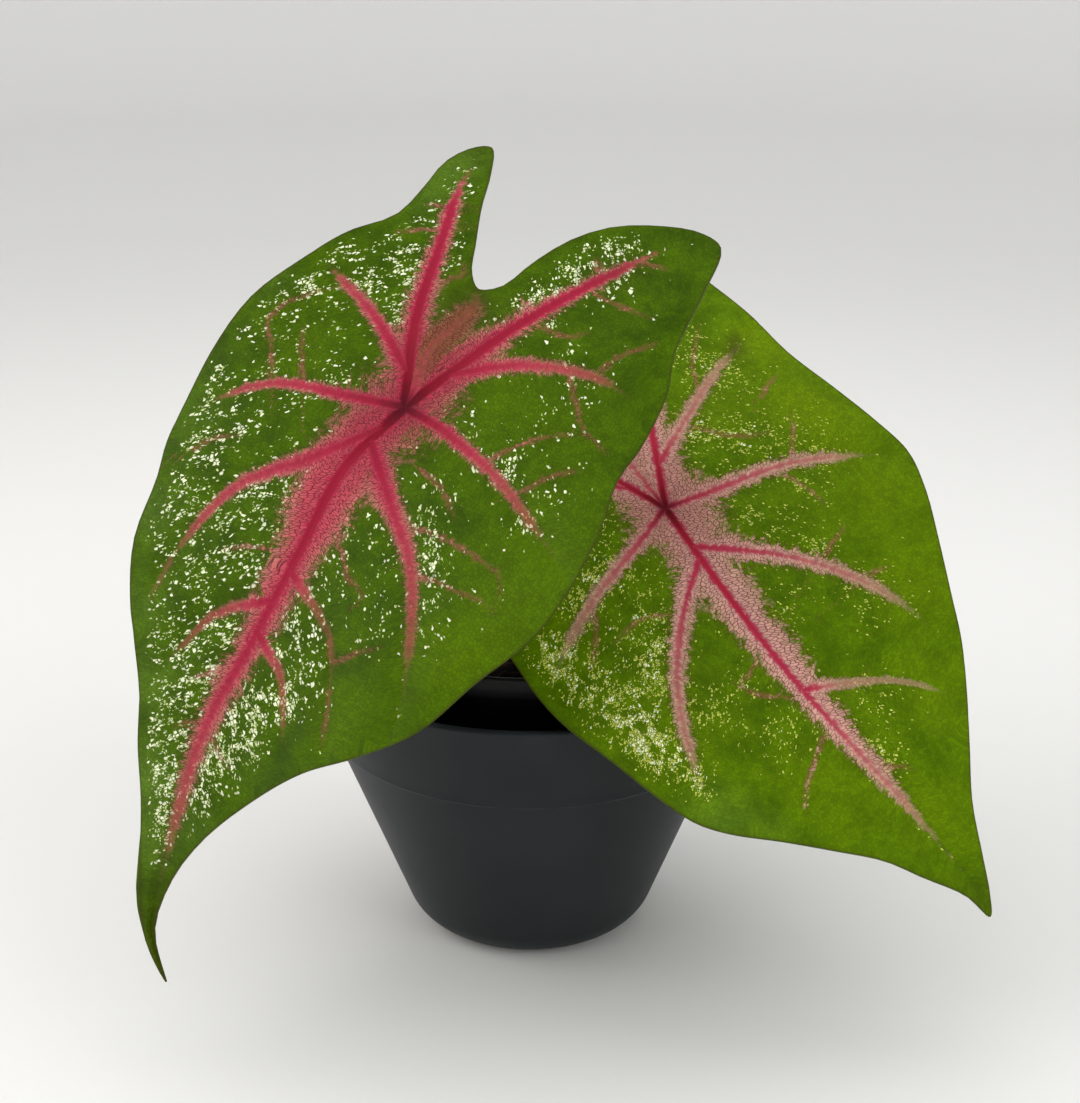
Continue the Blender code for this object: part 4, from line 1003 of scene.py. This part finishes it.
def soil_shape(crumb, rings, segments):
    """The root ball: a disc on rings and spokes raised by soil_height, closed by the pot's taper."""
    side_z = NURSERY_RIM_HEIGHT - NURSERY_BAND - SOIL_CRUMB
    inset = NURSERY_WALL + CONTACT_GAP
    bottom = NURSERY_SEAT - NURSERY_FILLET + NURSERY_FLOOR + CONTACT_GAP
    rim = nursery_radius(side_z, NURSERY_RIM_HEIGHT) - inset
    profile = [(0.0, bottom), (nursery_radius(bottom, NURSERY_RIM_HEIGHT) - inset - 1.5, bottom)]
    side = np.linspace(bottom + 1.5, side_z - 3.0, 10)
    profile += [(nursery_radius(z, NURSERY_RIM_HEIGHT) - inset, z) for z in side]
    profile += [(rim * (1.0 - k / rings) + 0.12, SOIL_LEVEL) for k in range(rings)] + [(0.0, SOIL_LEVEL)]
    points, faces = lathe([profile], segments)
    x, y, z = points.T
    top = z >= SOIL_LEVEL - 0.01
    reach = np.hypot(x, y)
    settle = np.clip((rim - reach) / 4.0, 0.0, 1.0)
    raised = soil_height(x, y, crumb * (0.35 + 0.65 * settle)) - 1.2 * (1.0 - settle)
    points[:, 2] = np.where(top, raised, z)
    return points, faces


def crumbs_shape(count, seed):
    """Loose crumbs on the soil: small balls of four rings of eight points, each with its own size,
    stretch and roll, and each point moved in or out by chance."""
    draw = np.random.default_rng(seed)
    turn = draw.uniform(0.0, 2 * np.pi, count)
    away = 51.5 * np.sqrt(draw.uniform(0.0, 1.0, count))
    x, y = away * np.cos(turn), away * np.sin(turn)
    size = draw.uniform(0.35, 1.0, count) ** 2 * 2.0 + 0.35
    theta, phi = 2 * np.pi * np.arange(8) / 8, np.pi * np.arange(1, 5) / 5
    rings = [np.outer(np.sin(phi), np.cos(theta)), np.outer(np.sin(phi), np.sin(theta))]
    rings = np.stack([*rings, np.outer(np.cos(phi), np.ones(8))], axis=-1).reshape(-1, 3)
    ball = np.vstack([rings, [0, 0, 1.0], [0, 0, -1.0]])
    lump = 1.0 + draw.uniform(-0.28, 0.28, (count, len(ball), 1))
    stretch = draw.uniform(0.6, 1.15, (count, 1, 3))
    roll = draw.uniform(0.0, 2 * np.pi, count)
    c, s = np.cos(roll)[:, None], np.sin(roll)[:, None]
    local = ball[None] * lump * stretch * size[:, None, None]
    u, v, w = np.moveaxis(local, -1, 0)
    rolled = np.stack([c * u - s * w, v, s * u + c * w], axis=-1)
    place = np.column_stack([x, y, soil_height(x, y, 0.7) + 0.35 * size])
    points = (rolled + place[:, None]).reshape(-1, 3)
    one = tube_faces(4, 8)[:, ::-1]
    faces = (one[None] + len(ball) * np.arange(count)[:, None, None]).reshape(-1, 3)
    return points, faces


def stalk_line(leaf, stalk):
    """A stalk's centre line: up out of the soil, through its bend, and square onto the blade's pad."""
    up = np.array(leaf_matrix(leaf))[:3, 2]
    top = np.array(leaf["junction"]) - up * (PAD_HEIGHT - 0.25)
    surface = np.array([*stalk["foot"], SOIL_LEVEL])
    lean = np.array(stalk["bend"]) - surface
    way = lean / np.linalg.norm(lean) + (0.0, 0.0, 1.0)
    way /= np.linalg.norm(way)
    ends = np.array([surface - way * 12.0, surface + way * 5.0, stalk["bend"], top - up * 5.2, top])
    p0, p1, p2, p3 = ends[:-3, None], ends[1:-2, None], ends[2:-1, None], ends[3:, None]
    s = np.linspace(0.0, 1.0, CURVE_STEPS, endpoint=False)[None, :, None]
    bent = 0.5 * (2 * p1 + (p2 - p0) * s + (2 * p0 - 5 * p1 + 4 * p2 - p3) * s ** 2
                  + (3 * p1 - p0 - 3 * p2 + p3) * s ** 3)
    return with_run(np.vstack([ends[:1], bent.reshape(-1, 3), ends[3:]]))


def make_stalk(name, leaf, stalk, girth, finish, rings=96, sides=40):
    """A stalk as a circle carried along its line, flared at the soil and again under the blade,
    with shallow grooves along it."""
    line = stalk_line(leaf, stalk)
    length = line[1][-1]
    share = 1.0 - np.cos(np.linspace(0.0, np.pi / 2, rings))
    share = 0.5 * share + 0.5 * np.linspace(0.0, 1.0, rings)
    path = at_run(line, share * length)
    forward = np.gradient(path, axis=0)
    forward /= np.linalg.norm(forward, axis=1, keepdims=True)
    # One fixed sideways direction, made square to the path, is enough: the stalks never turn flat
    side = np.array([1.0, 0.0, 0.0]) - forward * forward[:, :1]
    side /= np.linalg.norm(side, axis=1, keepdims=True)
    other = np.cross(forward, side)
    low, high = stalk["radii"]
    along = share * length
    radius = low + (high - low) * share
    radius = radius + 0.7 * np.exp(-(np.abs(along - 12.0) / 7.0)) + 1.1 * np.exp(-(length - along) / 2.6)
    turns = 2 * np.pi * np.arange(sides) / sides
    groove = 1.0 + 0.02 * np.cos(7 * turns)[None] + 0.012 * np.cos(13 * turns + 0.8)[None]
    radius = (girth * radius)[:, None, None] * groove[..., None]
    ring = np.cos(turns)[None, :, None] * side[:, None] + np.sin(turns)[None, :, None] * other[:, None]
    points = np.vstack([(path[:, None] + radius * ring).reshape(-1, 3), path[:1], path[-1:]])
    made = mesh_object(name, points, tube_faces(rings, sides), finish)
    every = np.append(np.repeat(share, sides), [0.0, 1.0])
    round_x = np.append(np.tile(np.cos(turns), rings), [0.0, 0.0])
    round_y = np.append(np.tile(np.sin(turns), rings), [0.0, 0.0])
    store(made.data, "stalk_frame", [every, round_x, round_y])
    return made


def tie(piece, node):
    """Let a finished piece ride on the root and stand for a solid, which is hidden."""
    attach(piece, "root")
    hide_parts(node)


def stage_floor(radius, wall_radius):
    """A round floor that rises in a quarter circle into a round wall, so every side looks the same."""
    ease = wall_radius - radius
    profile = [(r, 0.0) for r in np.linspace(0.05, radius, 12)]
    turns = np.radians(np.linspace(-90.0, 0.0, 24)[1:])
    profile += [(radius + ease * math.cos(t), ease + ease * math.sin(t)) for t in turns]
    profile += [(wall_radius, ease + rise) for rise in np.linspace(0.2, 1.6, 8)]
    points = np.vstack([spun(np.array(profile), FLOOR_SIDES), [0.0, 0.0, 0.0]])
    return points / MM, tube_faces(len(profile), FLOOR_SIDES, both_ends=False)[:, ::-1]


def add_light(name, place, aim, size, power, colour):
    """A square soft light at a place, turned to its aim."""
    data = bpy.data.lights.new(name, "AREA")
    data.shape = "SQUARE"
    data.size, data.energy, data.color = size, power, colour
    light = bpy.data.objects.new(name, data)
    light.location = place
    light.rotation_mode = "QUATERNION"
    light.rotation_quaternion = (Vector(aim) - Vector(place)).to_track_quat("-Z", "Y")
    bpy.context.scene.collection.objects.link(light)
    return light


def colour_setting(name, description, code):
    """A colour that a user may change."""
    return bpy.props.FloatVectorProperty(
        name=name, description=description, subtype="COLOR", size=4, min=0.0, max=1.0, default=linear(code),
    )


def length_setting(name, description, default, low, high):
    """A length that a user may change."""
    return bpy.props.FloatProperty(
        name=name, description=description, default=default, min=low, max=high, unit="LENGTH",
        subtype="DISTANCE",
    )


def share_setting(name, description, low, high):
    """A factor that a user may change, 1 at first."""
    return bpy.props.FloatProperty(
        name=name, description=description, default=1.0, min=low, max=high, subtype="FACTOR",
    )


def count_setting(name, description, default, low, high):
    """A number of things that a user may change."""
    return bpy.props.IntProperty(name=name, description=description, default=default, min=low, max=high)


def group_setting(name, description, kind):
    """A group of settings within another."""
    return bpy.props.PointerProperty(name=name, description=description, type=kind)


class LeafColours(bpy.types.PropertyGroup):
    """Colours of one leaf blade."""

    green: colour_setting("Green", "Main green of the blade", "#446000")
    deep: colour_setting("Deep green", "Darker green of its mottling", "#364e02")
    # A painted glow: the yellow-green of light shining through the blade
    glow: colour_setting("Glow", "Yellow-green where light comes through", "#526e00")
    blush: colour_setting("Blush", "Pink beside the ribs", "#b44553")
    blush_edge: colour_setting("Blush edge", "Pink at the blush's outer edge", "#b87468")
    core: colour_setting("Core", "Crimson of the ribs' middle", "#8b172e")
    cream: colour_setting("Flecks", "Cream of the flecks", "#eef2cf")


class BladeSettings(bpy.types.PropertyGroup):
    """Sizes and colours of the two leaf blades."""

    rows: count_setting("Rows", "Mesh rows from rib root to margin", 64, 16, 96)
    columns: count_setting("Columns", "Mesh columns between two ribs", 20, 8, 32)
    left: group_setting("Left leaf", "Colours of the left leaf", LeafColours)
    right: group_setting("Right leaf", "Colours of the right leaf", LeafColours)


class StalkSettings(bpy.types.PropertyGroup):
    """Sizes and colours of the two stalks."""

    girth: share_setting("Girth", "Thickness, as a share of the solid stalks'", 0.8, 1.1)
    young: colour_setting("Young skin", "Colour near the blade", "#8a5a3a")
    old: colour_setting("Old skin", "Colour at the soil", "#6b6a34")


class SoilSettings(bpy.types.PropertyGroup):
    """Sizes and colour of the soil."""

    crumb: length_setting("Crumb", "Height of the crumbs", 0.0007, 0.0, 0.001)
    loose: count_setting("Loose crumbs", "How many lie on top", 420, 0, 900)
    colour: colour_setting("Peat", "Colour of the peat", "#1d130d")


class PotSettings(bpy.types.PropertyGroup):
    """Sizes and colours of the cachepot and the nursery pot."""

    cachepot_height: length_setting(
        "Cachepot height", "Height of the outer pot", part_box("cachepot")[1][2], 0.085, 0.095,
    )
    nursery_height: length_setting(
        "Nursery rim height", "Height of the inner pot's rim over the table",
        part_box("nursery_pot")[1][2], 0.1, 0.1065,
    )
    cachepot: colour_setting("Cachepot", "Colour of the outer pot", "#181d20")
    nursery: colour_setting("Nursery pot", "Colour of the inner pot", "#040505")


class StageSettings(bpy.types.PropertyGroup):
    """Floor, light and camera."""

    floor: colour_setting("Floor", "Colour of the floor and the wall behind it", "#e0dfdd")
    power: share_setting("Light", "Strength of the lights", 0.1, 4.0)
    lens: bpy.props.FloatProperty(
        name="Lens", description="Focal length of the camera", default=70.17, min=20.0, max=200.0,
        unit="CAMERA", subtype="DISTANCE_CAMERA",
    )


class PlantSettings(bpy.types.PropertyGroup):
    """All settings of the plant and its stage."""

    blades: group_setting("Blades", "The leaf blades", BladeSettings)
    stalks: group_setting("Stalks", "The stalks", StalkSettings)
    soil: group_setting("Soil", "The soil", SoilSettings)
    pots: group_setting("Pots", "The two pots", PotSettings)
    stage: group_setting("Stage", "The stage", StageSettings)


class CALADIUM_OT_blades(bpy.types.Operator):
    """Make the two leaf blades with their markings."""

    bl_idname = "caladium.blades"
    bl_label = "Leaf Blades"

    def execute(self, context):
        settings = context.scene.caladium.blades
        for node, leaf, own_look, tints in (
            ("blade_left", LEFT_LEAF, LEFT_LOOK, settings.left),
            ("blade_right", RIGHT_LEAF, RIGHT_LOOK, settings.right),
        ):
            look = {**SHARED_LOOK, **own_look}
            look = {part: linear(value) if isinstance(value, str) else value for part, value in look.items()}
            look |= {part: tuple(getattr(tints, part)) for part in RIGHT_TINTS}
            upper = make_finish("caladium_" + node, leaf_face, look)
            lower = make_finish("caladium_under_" + node, leaf_underside, look)
            tie(make_blade(node + "_leaf", leaf, settings.rows, settings.columns, upper, lower), node)
        return {"FINISHED"}


class CALADIUM_OT_stalks(bpy.types.Operator):
    """Make the two stalks."""

    bl_idname = "caladium.stalks"
    bl_label = "Stalks"

    def execute(self, context):
        settings = context.scene.caladium.stalks
        skin = make_finish("caladium_stalk_skin", stalk_skin, tuple(settings.young), tuple(settings.old))
        for node, leaf, stalk in (
            ("petiole_left", LEFT_LEAF, LEFT_STALK), ("petiole_right", RIGHT_LEAF, RIGHT_STALK),
        ):
            tie(make_stalk(node + "_stalk", leaf, stalk, settings.girth, skin), node)
        return {"FINISHED"}


class CALADIUM_OT_soil(bpy.types.Operator):
    """Make the soil and the loose crumbs on it."""

    bl_idname = "caladium.soil"
    bl_label = "Soil"

    def execute(self, context):
        settings = context.scene.caladium.soil
        peat = make_finish("moist_peat", moist_peat, tuple(settings.colour))
        tie(mesh_object("soil_ball", *soil_shape(settings.crumb / MM, 110, 300), peat), "soil")
        tie(mesh_object("soil_crumbs", *crumbs_shape(settings.loose, 11), peat), "soil")
        return {"FINISHED"}


class CALADIUM_OT_nursery_pot(bpy.types.Operator):
    """Make the thin black nursery pot."""

    bl_idname = "caladium.nursery_pot"
    bl_label = "Nursery Pot"

    def execute(self, context):
        settings = context.scene.caladium.pots
        plastic = make_finish(
            "thin_black_polypropylene", moulded_plastic, tuple(settings.nursery), 0.42, 0.2, 0.01,
        )
        shape = nursery_shape(settings.nursery_height / MM, 192)
        tie(mesh_object("nursery_pot_shell", *shape, plastic, POT_CREASE), "nursery_pot")
        return {"FINISHED"}


class CALADIUM_OT_cachepot(bpy.types.Operator):
    """Make the anthracite cachepot."""

    bl_idname = "caladium.cachepot"
    bl_label = "Cachepot"

    def execute(self, context):
        settings = context.scene.caladium.pots
        plastic = make_finish(
            "moulded_anthracite_polypropylene", moulded_plastic, tuple(settings.cachepot), 0.48, 0.25, 0.03,
        )
        shape = cachepot_shape(settings.cachepot_height / MM, 256)
        tie(mesh_object("cachepot_shell", *shape, plastic, POT_CREASE), "cachepot")
        return {"FINISHED"}


class CALADIUM_OT_stage(bpy.types.Operator):
    """Make the floor, the lights, the sky and the camera."""

    bl_idname = "caladium.stage"
    bl_label = "Stage, Lights and Camera"

    def execute(self, context):
        settings = context.scene.caladium.stage
        paper = make_finish("seamless_paper", seamless_paper, tuple(settings.floor))
        mesh_object("studio_floor", *stage_floor(1.5, 2.3), paper)
        power = settings.power
        # Place in metres, aim's height, side in metres, watts and colour. Only the window shines on the
        # waxy leaves, so their colour stays deep elsewhere
        for name, place, aim, size, watts, colour in (
            ("window_light", (-1.0, -0.3, 0.8), 0.1, 1.1, 9.0, (1.0, 0.985, 0.96)),
            ("ceiling_light", (0.1, 0.35, 1.75), 0.1, 1.6, 12.5, (1.0, 0.99, 0.975)),
            ("room_fill", (1.2, -0.8, 0.95), 0.12, 1.4, 12.0, (0.97, 0.985, 1.0)),
        ):
            light = add_light(name, place, (0.0, 0.0, aim), size, watts * power, colour)
            light.visible_glossy = name == "window_light"
        world = bpy.data.worlds.new("pale_room")
        world.use_nodes = True
        sky = world.node_tree.nodes["Background"]
        sky.inputs["Color"].default_value = linear("#eef1f4")
        sky.inputs["Strength"].default_value = 0.70 * power
        world.cycles_visibility.glossy = False
        context.scene.world = world
        context.scene.view_settings.view_transform = "Standard"
        lens = bpy.data.cameras.new("photo_camera")
        lens.lens, lens.sensor_width = settings.lens, 36.0
        lens.clip_start, lens.clip_end = 0.01, 20.0
        camera = bpy.data.objects.new("photo_camera", lens)
        camera.location = (0.0031, -0.6116, 0.3589)
        camera.rotation_euler = (math.radians(90.0 - 21.2), 0.0, 0.0)
        context.scene.collection.objects.link(camera)
        context.scene.camera = camera
        return {"FINISHED"}


STEPS = (
    CALADIUM_OT_blades, CALADIUM_OT_stalks, CALADIUM_OT_soil, CALADIUM_OT_nursery_pot,
    CALADIUM_OT_cachepot, CALADIUM_OT_stage,
)


class CALADIUM_PT_panel(bpy.types.Panel):
    """Lists the plant's steps and their settings."""

    bl_idname = "CALADIUM_PT_panel"
    bl_label = "Potted Caladium"
    bl_space_type = "VIEW_3D"
    bl_region_type = "UI"
    bl_category = "Caladium"

    def draw(self, context):
        plant = context.scene.caladium
        groups = (
            (plant.blades, (CALADIUM_OT_blades,), ("rows", "columns")),
            (plant.blades.left, (), RIGHT_TINTS),
            (plant.blades.right, (), RIGHT_TINTS),
            (plant.stalks, (CALADIUM_OT_stalks,), ("girth", "young", "old")),
            (plant.soil, (CALADIUM_OT_soil,), ("crumb", "loose", "colour")),
            (plant.pots, (CALADIUM_OT_nursery_pot, CALADIUM_OT_cachepot),
             ("nursery_height", "nursery", "cachepot_height", "cachepot")),
            (plant.stage, (CALADIUM_OT_stage,), ("floor", "power", "lens")),
        )
        for group, steps, names in groups:
            box = self.layout.box()
            for name in names:
                box.prop(group, name)
            for step in steps:
                box.operator(step.bl_idname)


CLASSES = (
    LeafColours, BladeSettings, StalkSettings, SoilSettings, PotSettings, StageSettings, PlantSettings,
    *STEPS, CALADIUM_PT_panel,
)


def register():
    """Make the settings, the steps and the panel known."""
    for known in CLASSES:
        bpy.utils.register_class(known)
    bpy.types.Scene.caladium = bpy.props.PointerProperty(
        name="Caladium", description="Settings of the potted caladium", type=PlantSettings,
    )


def unregister():
    """Take them away again."""
    del bpy.types.Scene.caladium
    for known in reversed(CLASSES):
        bpy.utils.unregister_class(known)


def main():
    """Make every piece in order."""
    register()
    right = bpy.context.scene.caladium.blades.right
    for part, code in RIGHT_TINTS.items():
        setattr(right, part, linear(code))
    bpy.ops.caladium.blades()
    bpy.ops.caladium.stalks()
    bpy.ops.caladium.soil()
    bpy.ops.caladium.nursery_pot()
    bpy.ops.caladium.cachepot()
    bpy.ops.caladium.stage()
    bpy.context.view_layer.update()


if __name__ == "__main__":
    main()
